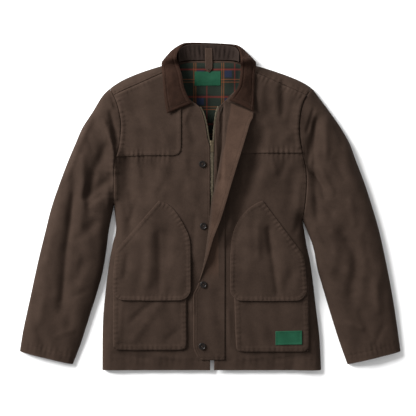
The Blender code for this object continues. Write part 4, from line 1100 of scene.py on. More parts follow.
def back_plan(step=5.0):
    """Hem to the shoulders' ridge and neck, right side to left side."""
    sides = {}
    for side in (RIGHT, LEFT):
        sides[side] = np.vstack([side_points(side, BACK_HEM, np.linspace(0, 1, 60))[:-1],
                                 armhole_points(side, np.linspace(0, 1, 60))])
    ridge = {}
    for side in (RIGHT, LEFT):
        line = sided(OUTER_EDGE[side], side)
        line = line[line[:, 1] >= sides[side][-1, 1] - 1e-6].copy()
        line[-1] = sides[side][-1]
        ridge[side] = line
    tips = [(side * OUTER_EDGE[side][0][0], OUTER_EDGE[side][0][1]) for side in (RIGHT, LEFT)]
    neck = smooth_line([tips[0], (-45, 356.5), (5, 357.5), (50, 356.5), tips[1]])
    top = np.vstack([ridge[RIGHT][::-1], neck[1:-1], ridge[LEFT]])
    hem = smooth_line([sides[RIGHT][0], (-150, -391), (0, -379), (150, -391), sides[LEFT][0]])
    rows = shares(lengths(sides[RIGHT])[-1], step)
    width = shares(lengths(top)[-1], step)
    return coons(along(hem, width), along(top, width),
                 along(sides[RIGHT], rows), along(sides[LEFT], rows))


def make_back():
    """Back panel on the underside's height function."""
    outer = raised(shrink(back_plan()), under_height)
    outer[..., 2] = np.minimum(outer[..., 2], SEAM_HEIGHT + 2.0)
    item = skin_wall("back_cloth", outer, CLOTH, down=False, wear=seam_wear(outer), uv=panel_uv(outer))
    declare(dress(item, "canvas", "canvas", ["back"]))


# -------------------------------------------------------------- sewn on top
def sided_plan(lines, step):
    """Grid from four named sides given as short tables."""
    made = {}
    for key, rows in lines.items():
        made[key] = smooth_line(rows, 12) if len(rows) > 2 else np.asarray(rows, float)
    width = shares(lengths(made["near"])[-1], step)
    rows = shares(max(lengths(made["start"])[-1], lengths(made["end"])[-1]), step)
    return coons(along(made["near"], width), along(made["far"], width),
                 along(made["start"], rows), along(made["end"], rows))


def outline_of(plan, open_far=False):
    """Outline of a plan grid: near, end, far and start, or all but its far side."""
    if open_far:
        return np.vstack([plan[::-1, 0], plan[0, 1:], plan[1:, -1]])
    return np.vstack([plan[0], plan[1:, -1], plan[-1, -2::-1], plan[-2::-1, 0]])


def stitched(distance, rows):
    """Grooves that rows of stitching press into the cloth."""
    band = 1.3 * (1 - ease(rows[-1] + 0.6, rows[-1] + 2.6, distance))
    return sum(-0.6 * bell(distance - row, 1.0) for row in rows) + band


def layer(name, plan, low, high, rows=(2.5, 7.5), pucker=0.45, wave=10.0, finish="canvas",
          slot="canvas", nodes=(), radius=1.6, hollow=False, open_far=False):
    """Piece on a front: high over the top in the middle, rounded down to low at
    its border, with grooves of stitching and puckers along them."""
    x, y = plan[..., 0], plan[..., 1]
    outline = outline_of(plan, open_far)
    d, s = near_line(x, y, outline[::2])
    base = top_height(x, y)
    floor = low(x, y) if callable(low) else low
    roof = high(x, y) if callable(high) else high
    up = floor + 0.1 + (roof - floor - 0.1) * rounding(d, radius)
    up = up + stitched(d, rows) * (d > 0.5)
    up = up + pucker * ripple(s, wave) * bell(d - 6.0, 7.5) * rounding(d, 2.5)
    outer = np.dstack([x, y, base + up])
    if hollow:
        inside = floor + (roof - floor - 1.6) * rounding(np.clip(d - 1.8, 0, None), radius)
    else:
        inside = floor + 0.0 * d
    inner = np.dstack([x, y, base + np.minimum(inside, up - 0.08)])
    wear = 0.6 * bell(d, 1.8) + 0.3 * bell(d - 5.0, 3.0) * (0.5 + 0.5 * ripple(s, wave))
    item = wall(name, outer, inner, panel_uv(outer), wear)
    dress(item, finish, slot, nodes)
    return item


def patch_plan(step=3.0):
    """Shoulder patch: armhole, lower seam, rounded inner edge, forward seam."""
    hole = armhole_points(RIGHT, np.linspace(0, FORWARD_SHARE, 80))
    low = hole[np.argmin(np.abs(hole[:, 1] - PATCH_SEAM_Y))]
    start = hole[hole[:, 1] >= low[1]]
    edge = front_edge(RIGHT)
    inner = edge[(edge[:, 1] > 285) & (edge[:, 1] <= 338)]
    x_in = np.interp(330.0, inner[:, 1], inner[:, 0]) - 0.5
    end = smooth_line([(-88, 123.0), (-76, 127), (-70.5, 138), (-70, 160), (-70, 230), (-70.5, 284),
                       (min(x_in, -79.0) + 1.5, 312), (x_in - 4.5, 336.6)], 10)
    near = smooth_line([low, (-200, 121.5), (-150, 122.8), (-88, 123.0)], 20)
    far = np.array([start[-1], end[-1]])
    width = shares(lengths(near)[-1], step)
    rows = shares(lengths(start)[-1], step)
    return coons(along(near, width), along(far, width), along(start, rows), along(end, rows))


def yoke_plan(step=3.0):
    """Front yoke: armhole, lower seam, the flap's side, forward seam."""
    hole = armhole_points(LEFT, np.linspace(0, FORWARD_SHARE, 80))
    low = hole[np.argmin(np.abs(hole[:, 1] - YOKE_SEAM_Y))]
    end = hole[hole[:, 1] >= low[1]]
    start = smooth_line([(41, 128.6), (41.5, 180), (42, 258), (49, 270), (68, 288), (80, 316),
                         (88.5, 337.0)], 10)
    near = np.array([start[0], low])
    far = np.array([start[-1], end[-1]])
    width = shares(lengths(near)[-1], step)
    rows = shares(lengths(end)[-1], step)
    return coons(along(near, width), along(far, width), along(start, rows), along(end, rows))


def pocket_face(side):
    """Face of a bellows pocket: the gusset's height and a puff that falls by
    the square of the distance from the middle, in both directions."""
    def height(x, y):
        across = np.clip(np.abs(side * x - POCKET_MIDDLE[0]) / POCKET_HALF[0], 0, 1)
        down = np.clip(np.abs(y - POCKET_MIDDLE[1]) / POCKET_HALF[1], 0, 1)
        return GUSSET + POCKET_PUFF * (1 - across**2) * (1 - down**2)
    return height


def hand_low(x, y):
    """Underside of a hand pocket: it rises over the bellows pocket below."""
    rise = GUSSET + POCKET_PUFF + LOOSE_GAP - LAYER_GAP
    return (LAYER_GAP + rise * (1 - ease(FLAP_RAMP[1], FLAP_RAMP[0], y))
            + 1.7 * bell(y + 231.0, 9.0))


def hand_high(x, y):
    """Top of a hand pocket: one cloth over its underside."""
    return hand_low(x, y) + CLOTH


def label_plan(corners, width, height):
    """Grid between a label's corners: low -X, low +X, high -X and high +X."""
    corners = np.array(corners)
    across, rise = shares(width, 3.0), shares(height, 3.0)
    return coons(along(corners[:2], across), along(corners[2:], across),
                 along(corners[[0, 2]], rise), along(corners[[1, 3]], rise))


def thread_ring(name, points):
    """Ring of thread from a grid of points that closes both ways."""
    rings, steps = points.shape[:2]
    index = np.arange(rings * steps).reshape(rings, steps)
    right, down = np.roll(index, -1, 1), np.roll(index, -1, 0)
    both = np.roll(down, -1, 1)
    faces = np.stack([index.ravel(), down.ravel(), both.ravel(), right.ravel()], 1)
    item = new_object(name, points.reshape(-1, 3), faces, wear=np.zeros(rings * steps))
    return dress(item, "thread", "canvas")


def make_patches():
    """Shoulder patch on the right front, yoke on the left one."""
    item = layer("shoulder_patch_cloth", shrink(patch_plan()), LAYER_GAP, LAYER_GAP + CLOTH,
                 rows=(2.2, 8.0), pucker=1.0, wave=9.5, nodes=["shoulder_patch"])
    declare(item)
    item = layer("front_yoke_cloth", shrink(yoke_plan()), LAYER_GAP, LAYER_GAP + CLOTH,
                 rows=(2.2, 8.0), pucker=0.75, wave=11.0, nodes=["front_yoke"])
    declare(item)


def make_pockets():
    """Bellows pockets, hand pockets over them, and the pocket label."""
    for side in (RIGHT, LEFT):
        word = WORD[side]
        plan = sided_plan(BELLOWS_SIDES[side], 2.6)
        item = layer("bellows_pocket_%s_cloth" % word, plan, LAYER_GAP, pocket_face(side),
                     rows=(6.0, 11.0), pucker=0.7, wave=12.0, radius=4.0, hollow=True, open_far=True,
                     nodes=["bellows_pocket_" + word])
        declare(item)
        plan = sided_plan(HAND_SIDES[side], 2.4)
        item = layer("hand_pocket_%s_cloth" % word, plan, hand_low, hand_high,
                     rows=(2.6, 7.4), pucker=0.75, wave=11.0, nodes=["hand_pocket_" + word])
        declare(item)
    plan = label_plan([(159.7, -338.9), (224.7, -337.2), (159.3, -304.6), (224.3, -302.9)],
                      65.0, 34.3)
    face = pocket_face(LEFT)
    item = layer("pocket_label_cloth", plan, lambda x, y: face(x, y) + 0.2,
                 lambda x, y: face(x, y) + 1.1, rows=(1.6,), pucker=0.08, wave=7.0, finish="label",
                 slot="label", nodes=["pocket_label"], radius=0.8)
    declare(item)


# ---------------------------------------------------------------- storm flap
def flap_section(fold, free, roll, rise):
    """Section as (x, height): flat to the fold, half a turn, then straight."""
    centre = min(fold + roll, FLAP_SEAM_X)
    turn = np.linspace(0, math.pi, 17)
    bend = np.stack([centre - roll * np.sin(turn), roll * (1 - np.cos(turn))], 1)
    return np.vstack([[(FLAP_SEAM_X, 0.0)], bend, [(max(free, centre), rise)]])


def flap_grid(rows=190, columns=64):
    """Face of the flap, its outer normals, and how far each point is from the
    seam, as grids. Its free part sags and waves a little along its length."""
    table = smooth_line(FLAP_ROWS, 10)
    table[:, 3:] = np.maximum(table[:, 3:], 0.0)
    table = along(table, np.linspace(0, 1, rows))
    points, side = [], []
    for y, fold, free, roll, rise in table:
        section = along(flap_section(fold, free, roll, rise), np.linspace(0, 1, columns))
        run = np.gradient(section, axis=0)
        run /= np.maximum(np.linalg.norm(run, axis=1, keepdims=True), 1e-9)
        slant = FLAP_SLANT * ease(FLAP_SLANT_FROM, FLAP_ROWS[0][0], y)
        ys = y - slant * (section[:, 0] - FLAP_SEAM_X)
        points.append(np.column_stack([section[:, 0], ys, section[:, 1]]))
        side.append(np.column_stack([-run[:, 1], 0 * ys, run[:, 0]]))
    points, side = np.array(points), np.array(side)
    reach = np.concatenate([np.zeros((rows, 1)), np.cumsum(
        np.linalg.norm(np.diff(points, axis=1), axis=-1), axis=1)], 1)
    y = points[..., 1]
    base = top_height(np.minimum(points[..., 0], FLAP_SEAM_X), y)
    turned = ease(0.45, 1.0, np.linspace(0, 1, columns))[None] * (y > -150)
    wave = turned * (1.3 * np.sin(y / 21.0 + 0.8) + 0.8 * np.sin(y / 9.5 + 2.0))
    from_edge = reach[:, -1:] - reach
    groove = 0.4 * (bell(from_edge - 3.0, 0.9) + bell(from_edge - 9.0, 0.9))
    pull = 0.35 * ripple(y, 11.0) * bell(from_edge - 6.0, 6.0)
    points[..., 2] += base + LOOSE_GAP + CLOTH + wave
    points += (pull - groove)[..., None] * side * 0.6
    ribs = (y < -355) * 0.35 * np.sin((y + 355) * 2 * math.pi / 3.4)
    points[..., 2] += ribs
    return points, side, from_edge


def make_flap():
    points, side, from_edge = flap_grid()
    d = border_distance(points)
    gap = CLOTH * 0.42 * (1 - rounding(d, 1.2))[..., None]
    outer = points + gap * side
    inner = points + (CLOTH - gap) * side
    y = points[..., 1]
    wear = 0.7 * bell(from_edge, 2.5) + 0.25 * bell(from_edge - 6.0, 3.0) * (0.5 + 0.5 * ripple(y, 11.0))
    # Painted highlight: the turned part of the flap, away from its fold, is marked so that it is drawn
    # paler, as if it caught more light.
    turned = ease(1.5, 6.0, points[..., 0] - np.min(points[..., 0], axis=1, keepdims=True))
    turned = turned * (np.arange(points.shape[1])[None] > 16) * ease(-185, -150, y)
    item = wall("storm_flap_cloth", outer, inner, panel_uv(points), wear, turned)
    dress(item, "canvas", "canvas", ["storm_flap"])
    declare(item)
    make_buttonhole()


def make_buttonhole():
    """Sewn buttonhole on the turned part: a ring of thread round a long oval,
    laid on the flap with its long side across."""
    points, side, _ = flap_grid()
    near = np.abs(points[..., 0] - 48.0) + np.abs(points[..., 1] - 90.2)
    near[:, :20] = 1e6
    at = np.unravel_index(np.argmin(near), near.shape)
    centre, up = points[at], -side[at]
    across = points[at[0], at[1] + 2] - points[at[0], at[1] - 2]
    across /= np.linalg.norm(across)
    ahead = np.cross(up, across)
    ring, tube = np.linspace(0, 2 * math.pi, 57)[:-1], np.linspace(0, 2 * math.pi, 9)[:-1]
    u, v = np.meshgrid(ring, tube, indexing="ij")
    reach = 0.75 * (1 + 0.12 * np.sin(28 * u)) * np.cos(v)
    flat_x, flat_y = (8.6 + reach) * np.cos(u), (1.3 + reach) * np.sin(u)
    lift = 0.35 + 0.4 * np.sin(v)
    cloud = (centre + flat_x[..., None] * across + flat_y[..., None] * ahead
             + lift[..., None] * up)
    thread_ring("flap_buttonhole", cloud)


# -------------------------------------------------------------------- collar
def collar_grid(rows=200, columns=52):
    """Sections from the roll to the leaf's edge, each a curve of the second
    degree; the leaves puff between the roll and the stitched border."""
    table = np.array(COLLAR)
    for start in (0, 3, 6):
        x, y, z = table[:, start], table[:, start + 1], table[:, start + 2]
        table[:, start + 2] = np.where(z >= OVER / 2, z - OVER + plain_top(x, y), z)
    stations = along(smooth_line(table, 12), np.linspace(0, 1, rows))
    t = shares(70.0, 70.0 / (columns - 8))[None, :, None]
    roll, pull, edge = (stations[:, None, k:k + 3] for k in (0, 3, 6))
    outer = (1 - t) ** 2 * roll + 2 * t * (1 - t) * pull + t**2 * edge
    outer[..., 2] = np.maximum(outer[..., 2], 0.0)
    normal = np.cross(np.gradient(outer, axis=1), np.gradient(outer, axis=0))
    normal /= np.maximum(np.linalg.norm(normal, axis=-1, keepdims=True), 1e-9)
    if normal[rows // 2, -2, 2] > 0:
        normal = -normal
    return outer, normal


def collar_relief(outer, normal):
    """Puff of the leaves, piping along their border and small creases."""
    d = border_distance(outer)
    run = lengths(outer[:, -1])
    s = np.broadcast_to(run[:, None], d.shape)
    shown = ease(12.0, 40.0, outer[..., 2])
    puff = 0.7 * bell(d - 5.0, 2.4) - 0.8 * bell(d - 9.0, 1.3) - 0.5 * bell(d - 1.6, 1.0)
    crease = (0.9 * np.sin(s / 17.0 + d / 11.0) + 0.6 * np.sin(s / 7.5 - d / 8.0 + 1.0)) * ease(8, 20, d)
    pull = 0.4 * ripple(s, 9.0) * bell(d - 8.0, 5.0)
    return (outer + ((puff + 0.6 * crease + pull) * (0.25 + 0.75 * shown))[..., None] * normal), d


def make_collar():
    plain, normal = collar_grid()
    outer, d = collar_relief(plain, normal)
    gap = (2.5 * 0.42 * (1 - rounding(d, 1.4)))[..., None]
    low = plain - (2.5 - gap) * normal
    outer = outer - gap * normal
    outer[..., 2] = np.maximum(outer[..., 2], 0.0)
    wear = 0.55 * bell(d, 2.0) + 0.25 * bell(d - 5.0, 2.0)
    item = wall("collar_cloth", outer, low, panel_uv(plain), wear)
    dress(item, "corduroy", "corduroy", ["collar"])
    declare(item)


def make_stand():
    """Stand inside the neck: straight from its seam to the roll, with a wavy bulge."""
    table = along(smooth_line(STAND, 12), np.linspace(0, 1, 130))
    t = shares(37.0, 1.6)[None, :, None]
    low, high = table[:, None, :3], table[:, None, 3:]
    outer = low + 1.06 * t * (high - low)
    s = np.broadcast_to(lengths(table[:, :3])[:, None], outer.shape[:2])
    middle = np.sin(math.pi * t[..., 0])
    outer[..., 2] += middle * (0.9 * ripple(s, 10.0) + 0.5 * np.sin(s / 3.1 + 6 * t[..., 0]))
    item = skin_wall("collar_stand_cloth", outer, CLOTH, wear=seam_wear(outer), uv=panel_uv(outer))
    # The stand takes the darker canvas, painted shade inside the neck.
    declare(dress(item, "facing", "canvas", ["collar_stand"]))


def make_lining():
    """Back lining: a grid between its straight lower edge and the neck seam."""
    near, far = np.array([(-148.0, 62.0), (148.0, 62.0)]), smooth_line(
        [(-128, 318), (-66, 349.5), (0, 351.5), (66, 349.5), (128, 318)], 12)
    width, rows = shares(296.0, 4.0), shares(270.0, 4.0)
    plan = coons(along(near, width), along(far, width),
                 along(np.array([near[0], far[0]]), rows), along(np.array([near[1], far[-1]]), rows))
    outer = raised(plan, lining_height)
    item = skin_wall("back_lining_cloth", outer, 1.0, wear=seam_wear(outer), uv=panel_uv(outer))
    declare(dress(item, "lining", "lining", ["back_lining"]))


def make_neck_label():
    """Neck label on the lining, below the hanger tab."""
    plan = label_plan([(-38.0, 296.0), (26.0, 296.6), (-38.0, 330.6), (26.0, 331.0)], 64.0, 34.6)
    outer = raised(plan, lambda x, y: lining_height(x, y) + 1.1)
    item = skin_wall("neck_label_cloth", outer, 0.8, wear=seam_wear(outer), uv=panel_uv(outer))
    declare(dress(item, "label", "label", ["neck_label"]))


def make_hanger():
    """Hanger tab: half widths out from its middle line, with a pressed border."""
    table = along(smooth_line(HANGER, 8), shares(60.0, 1.5))
    y, half, z = table[:, :1], np.maximum(table[:, 1:2], 0.6), table[:, 2:3]
    t = shares(18.0, 1.2)[None] * 2 - 1
    x = HANGER_X + t * half
    d = np.minimum((1 - np.abs(t)) * half, 6.0)
    lift = 1.2 + 0.35 * bell(d - 1.6, 1.0) - 0.25 * bell(d - 3.0, 0.7)
    outer = np.dstack([x, np.broadcast_to(y, x.shape), z + lift])
    item = skin_wall("hanger_tab_cloth", outer, 1.2, wear=seam_wear(outer, 0.1), uv=panel_uv(outer))
    declare(dress(item, "canvas", "canvas", ["hanger_tab"]))


def lining_height(x, y):
    """Lining over the back: its seat height with a few soft wrinkles."""
    x, y = np.asarray(x, float), np.asarray(y, float)
    lift = COLLAR_LIFT * ease(*LIFT_RISE, y) * (1 - ease(*LIFT_END, np.abs(x)))
    wrinkle = (0.8 * np.sin(x / 13.0 + y / 31.0) + 0.5 * np.sin(x / 6.5 - y / 17.0)) + 0.9
    near_seam = ease(352, 345, y)
    return lift + 3.6 + 0.7 * wrinkle * near_seam


def eyelet():
    """Small sewn ring on the hanger tab: a circle carried round a circle."""
    ring, tube = np.linspace(0, 2 * math.pi, 33)[:-1], np.linspace(0, 2 * math.pi, 13)[:-1]
    u, v = np.meshgrid(ring, tube, indexing="ij")
    reach = 2.2 + 0.7 * np.cos(v) + 0.12 * np.sin(16 * u)
    x, y = HANGER_X - 0.4 + reach * np.cos(u), 335.0 + reach * np.sin(u)
    thread_ring("hanger_eyelet", np.dstack([x, y, 12.0 + 0.55 * np.sin(v)]))


def make_neck():
    """Stand, lining, neck label and hanger tab inside the neck."""
    make_stand()
    make_lining()
    make_neck_label()
    make_hanger()
    eyelet()


# ----------------------------------------------------------------------- zip
def teeth_line(side):
    """Line of a side's teeth from the zip's lower end upwards."""
    line = smooth_line(TEETH[side], 10)
    return upto(line[::-1], ZIP_END)[::-1]


def make_zip():
    """Tapes with their teeth; slider and pull tab keep their solids in brass."""
    for side in (RIGHT, LEFT):
        word = WORD[side]
        line = teeth_line(side)
        rows = along(line, shares(lengths(line)[-1], 4.0))
        out = (0.25 + shares(TAPE_WIDTH - 0.25, 1.2) * (TAPE_WIDTH - 0.25)) * side
        x = rows[:, None, 0] + out[None]
        y = np.broadcast_to(rows[:, 1:], x.shape)
        outer = np.dstack([x, y, plain_top(x, y) - 2.8])
        item = skin_wall("zip_tape_%s_cloth" % word, outer, 1.0, wear=0 * x, uv=panel_uv(outer))
        declare(dress(item, "tape", "zip_tape", ["zip_tape_" + word]))
        make_teeth(side, line)
    for node in ("zip_slider", "zip_pull_tab"):
        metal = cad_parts[node]
        metal.data.materials.clear()
        metal.data.materials.append(material("brass"))


def make_teeth(side, line):
    """Each tooth is a small block with a bevelled nose, repeated along the
    line of teeth and set alternately on the two tapes."""
    pitch = setting("tooth_pitch")
    run = lengths(line)[-1]
    at = np.arange(pitch * (0.25 if side == RIGHT else 0.75), run, pitch) / run
    place = along(line, at)
    ahead = along(line, np.clip(at + 0.002, 0, 1)) - along(line, np.clip(at - 0.002, 0, 1))
    ahead /= np.linalg.norm(ahead, axis=1, keepdims=True)
    out = np.stack([ahead[:, 1], -ahead[:, 0]], 1) * side
    closed = place[:, 1] < SLIDER_Y
    # Five rings: place out from the line, half width along it, height, taper.
    shape = np.array([(a * k, b, c * k) for b, a, c, k in
                      ((-0.9, 0.55, 0.55, 0.7), (-0.5, 0.62, 0.75, 1.0), (1.3, 0.6, 0.85, 1.0),
                       (3.0, 0.5, 0.7, 1.0), (3.5, 0.35, 0.5, 0.8))])
    ring = np.array([(1, 1), (-1, 1), (-1, -1), (1, -1)])
    local = np.array([(row[0] * s, row[1], row[2] * t) for row in shape for s, t in ring])
    shift = np.where(closed, 0.0, 0.9)
    base = plain_top(place[:, 0], place[:, 1]) - 2.3
    x = place[:, None, 0] + local[None, :, 0] * ahead[:, None, 0] + (
        local[None, :, 1] + shift[:, None]) * out[:, None, 0]
    y = place[:, None, 1] + local[None, :, 0] * ahead[:, None, 1] + (
        local[None, :, 1] + shift[:, None]) * out[:, None, 1]
    z = base[:, None] + local[None, :, 2] + 0 * x
    points = np.dstack([x, y, z]).reshape(-1, 3)
    faces = []
    for r in range(4):
        for k in range(4):
            a, b = 4 * r + k, 4 * r + (k + 1) % 4
            faces.append((a, b, b + 4, a + 4))
    faces += [(3, 2, 1, 0), (16, 17, 18, 19)]
    faces = np.array(faces)
    if side == RIGHT:
        faces = faces[:, ::-1]
    every = (faces[None] + 20 * np.arange(len(place))[:, None, None]).reshape(-1, 4)
    item = new_object("zip_teeth_" + WORD[side], points, every, smooth=False)
    dress(item, "teeth", "zip_metal")


# ------------------------------------------------------------------- buttons
def make_buttons():
    """Turned buttons: a profile carried round the axis, its dish pierced by
    four holes as pits, with a cross of thread through them."""
    seat = np.array([0, 0, BUTTON_THICK / 2])
    for count, (x, y, tilt) in enumerate(BUTTONS, 1):
        low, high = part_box("button_%d" % count)
        centre = 0.5 * (np.array(low) + np.array(high)) / MM
        h = 6.0
        gx = (plain_top(x + h, y) - plain_top(x - h, y)) / (2 * h)
        gy = (plain_top(x, y + h) - plain_top(x, y - h)) / (2 * h)
        up = Vector((-float(gx), -float(gy), 1.0)).normalized()
        lean = Vector((0, 0, 1)).rotation_difference(up).to_matrix()
        c, s = math.cos(math.radians(tilt)), math.sin(math.radians(tilt))
        turn = np.array(lean) @ np.array([(c, 0, s), (0, 1, 0), (-s, 0, c)])
        points, faces = button_shape()
        item = new_object("button_%d_horn" % count, (points - seat) @ turn.T + centre, faces)
        dress(item, "horn", "button", ["button_%d" % count])
        points, faces = thread_cross()
        item = new_object("button_%d_thread" % count, (points - seat) @ turn.T + centre, faces,
                          wear=np.zeros(len(points)))
        dress(item, "thread", "button")


def button_shape(steps=72):
    """Radius and height from a profile table, smooth between its rows; the
    dish has four round pits of depth 1.3 at 1.9 from the axis."""
    h, r = BUTTON_THICK, BUTTON_RADIUS
    profile = smooth_line([(0.01, h - 1.1), (2.0, h - 1.12), (4.2, h - 1.05), (5.4, h - 0.8),
                           (6.2, h - 0.12), (6.9, h), (7.7, h - 0.1), (8.35, h - 0.7),
                           (r, h - 1.3), (8.3, 0.7), (7.6, 0.05), (5.0, 0.0), (0.01, 0.0)], 5)
    radii = profile[:, 0]
    turn = np.linspace(0, 2 * math.pi, steps, endpoint=False)
    x = radii[:, None] * np.cos(turn)[None]
    y = radii[:, None] * np.sin(turn)[None]
    z = np.broadcast_to(profile[:, 1:2], x.shape).copy()
    face = np.broadcast_to(np.arange(len(profile))[:, None] < len(profile) // 2, x.shape)
    for dx, dy in ((1.35, 1.35), (-1.35, 1.35), (-1.35, -1.35), (1.35, -1.35)):
        d = np.hypot(x - dx, y - dy)
        z -= np.where(face, 1.3 * ease(1.05, 0.65, d), 0)
    count = len(profile)
    points = np.dstack([x, y, z]).reshape(-1, 3)
    index = np.arange(count * steps).reshape(count, steps)
    right = np.roll(index, -1, 1)
    faces = np.stack([index[1:].ravel(), right[1:].ravel(), right[:-1].ravel(),
                      index[:-1].ravel()], 1)
    return points, faces


def thread_cross():
    """Two crossed loops of thread: half circles over the dish between holes."""
    pieces, faces = [], []
    for k, angle in enumerate((45, 135)):
        c, s = math.cos(math.radians(angle)), math.sin(math.radians(angle))
        along_run = np.linspace(-1, 1, 13)
        x = 1.95 * along_run
        z = BUTTON_THICK - 1.35 + 0.75 * (1 - along_run**2) + 0.25 * k - 0.6 * (np.abs(along_run) > 0.95)
        ring = np.linspace(0, 2 * math.pi, 9)[:-1]
        px = x[:, None] + 0 * ring[None]
        py = 0.55 * np.cos(ring)[None] + 0 * px
        pz = z[:, None] + 0.4 * np.sin(ring)[None]
        pieces.append(np.dstack([px * c - py * s, px * s + py * c, pz]).reshape(-1, 3))
        index = np.arange(13 * 8).reshape(13, 8) + k * 104
        right = np.roll(index, -1, 1)
        faces.append(np.stack([index[:-1].ravel(), right[:-1].ravel(), right[1:].ravel(),
                               index[1:].ravel()], 1))
    return np.concatenate(pieces), np.concatenate(faces)


# ------------------------------------------------------------------ stitches
STITCH_RING = np.array([(math.cos(a), math.sin(a)) for a in
                        np.linspace(0, 2 * math.pi, 7)[:-1]])


def setting(key):
    """A sewing size from the settings, in mm."""
    return round(getattr(bpy.context.scene.coat_sewing, key) / MM, 4)


def stitch_row(points, normals, thinner=1.0, lift=0.12):
    """Stitches along a line: each a short spindle, its six-sided ring scaled by
    0.4, 1, 1 and 0.4 along its length, half sunk in the cloth."""
    pitch, length = setting("stitch_pitch"), setting("stitch_length")
    radius = thinner * setting("thread_radius")
    run = lengths(points)
    count = max(1, int(run[-1] / pitch))
    at = (np.arange(count) + 0.5) / count * run[-1]
    centre = np.stack([np.interp(at, run, points[:, k]) for k in range(3)], 1)
    up = np.stack([np.interp(at, run, normals[:, k]) for k in range(3)], 1)
    ahead = (np.stack([np.interp(at + 0.6, run, points[:, k]) for k in range(3)], 1)
             - np.stack([np.interp(at - 0.6, run, points[:, k]) for k in range(3)], 1))
    ahead /= np.maximum(np.linalg.norm(ahead, axis=1, keepdims=True), 1e-9)
    up -= (up * ahead).sum(1, keepdims=True) * ahead
    up /= np.maximum(np.linalg.norm(up, axis=1, keepdims=True), 1e-9)
    side = np.cross(ahead, up)
    stations = np.array([(-0.5, 0.4, -0.28), (-0.25, 1.0, 0.0), (0.25, 1.0, 0.0), (0.5, 0.4, -0.28)])
    rings = []
    for place, scale, sink in stations:
        middle = centre + ahead * place * length + up * (lift + sink)
        ring = (middle[:, None] + side[:, None] * STITCH_RING[None, :, :1] * radius * scale
                + up[:, None] * STITCH_RING[None, :, 1:] * radius * scale)
        rings.append(ring)
    cloud = np.stack(rings, 1)
    index = np.arange(24).reshape(4, 6)
    right = np.roll(index, -1, 1)
    body = np.stack([index[:-1].ravel(), right[:-1].ravel(), right[1:].ravel(), index[1:].ravel()], 1)
    caps = np.array([(0, 3, 2, 1), (0, 5, 4, 3), (18, 19, 20, 21), (18, 21, 22, 23)])
    faces = np.concatenate([body[:, ::-1], caps[:, ::-1]])
    faces = (faces[None] + 24 * np.arange(count)[:, None, None]).reshape(-1, 4)
    return cloud.reshape(-1, 3), faces


def joined(name, rows, slot="canvas"):
    """One mesh from many rows of stitches."""
    points, faces, base = [], [], 0
    for p, f in rows:
        points.append(p)
        faces.append(f + base)
        base += len(p)
    points = np.concatenate(points)
    item = new_object(name, points, np.concatenate(faces), wear=np.zeros(len(points)))
    return dress(item, "thread", slot)


def on_height(line, height):
    """Stitches along a line in the plan, on a height function."""
    dense = along(line, np.linspace(0, 1, max(8, int(lengths(line)[-1] / 3.0))))
    return stitch_row(*lifted_points(dense, height))


def on_top(line):
    """Stitches on the top skin."""
    return on_height(line, top_height)


def on_layer(line, high):
    """Stitches sunk into the groove that they press in a sewn-on piece."""
    return on_height(line, lambda x, y: top_height(x, y) + high(x, y) - 0.45)


def inner_outline(plan, distance, open_far=False):
    """Outline of a plan grid moved inwards: a contour of the distance, found
    on lines from the border towards the middle."""
    outline = outline_of(plan, open_far)
    keep = np.concatenate([[True], np.linalg.norm(np.diff(outline, axis=0), axis=1) > 0.2])
    outline = along(outline[keep], np.linspace(0, 1, 260))
    middle = plan.mean((0, 1))
    moved = offset_line(outline, distance)
    if np.linalg.norm(moved - middle, axis=1).mean() > np.linalg.norm(outline - middle, axis=1).mean():
        moved = offset_line(outline, -distance)
    away, _ = near_line(moved[:, 0], moved[:, 1], outline[::2])
    good = away > distance - 0.35
    return moved[good]


def make_stitching():
    """Double rows along seams and pockets, single rows at hems and tapes."""
    for side in (RIGHT, LEFT):
        word = WORD[side]
        hole = armhole_points(side, np.linspace(0.03, 0.985, 90))
        rows = [on_top(hole + np.array([-side * d, 0.0])) for d in (2.6, 8.2)]
        seam = np.array([forward_point(side), neck_front_point(side)])
        rows += [on_top(seam + np.array([0.0, d])) for d in (2.4, 7.6)]
        rows.append(on_top(np.array([(side * 260, -376.0), (side * 12, -376.0)])))
        cuff = cuff_line(side, 20.0)
        rows.append(on_top(along(cuff, np.linspace(0.05, 0.95, 40))))
        edge = front_edge(side)
        edge = edge[(edge[:, 1] < 240)]
        rows.append(on_top(edge + np.array([side * 6.5, 0.0])))
        joined("stitches_%s_seams" % word, rows)

        plan = sided_plan(HAND_SIDES[side], 2.4)
        rows = [on_layer(inner_outline(plan, d), hand_high) for d in (2.6, 7.4)]
        plan = sided_plan(BELLOWS_SIDES[side], 2.6)
        rows += [on_layer(inner_outline(plan, d, True), pocket_face(side)) for d in (6.0, 11.0)]
        joined("stitches_%s_pockets" % word, rows)

    flat = (lambda x, y: LAYER_GAP + CLOTH + 0 * x)
    rows = [on_layer(inner_outline(shrink(patch_plan()), d), flat) for d in (2.2, 8.0)]
    rows += [on_layer(inner_outline(shrink(yoke_plan()), d), flat) for d in (2.2, 8.0)]
    joined("stitches_patches", rows)

    points, side, from_edge = flap_grid()
    rows = []
    for d in (3.0, 9.0):
        column = np.argmin(np.abs(from_edge - d), axis=1)[:, None, None]
        picked = np.take_along_axis(points, column, 1)[:, 0]
        normal = np.take_along_axis(side, column, 1)[:, 0]
        rows.append(stitch_row(picked + CLOTH * normal, normal))
        rows.append(stitch_row(picked, -normal))
    rows.append(stitch_row(points[:, 12] + CLOTH * side[:, 12], side[:, 12]))
    joined("stitches_flap", rows)

    plain, normal = collar_grid()
    outer, d = collar_relief(plain, normal)
    rows = []
    for inset in (5, 9):
        column = outer.shape[1] - 1 - inset
        rows.append(stitch_row(outer[:, column], normal[:, column], thinner=6 / 7))
    for row in (4, -5):
        rows.append(stitch_row(outer[row], normal[row], thinner=6 / 7))
    joined("stitches_collar", rows, "corduroy")


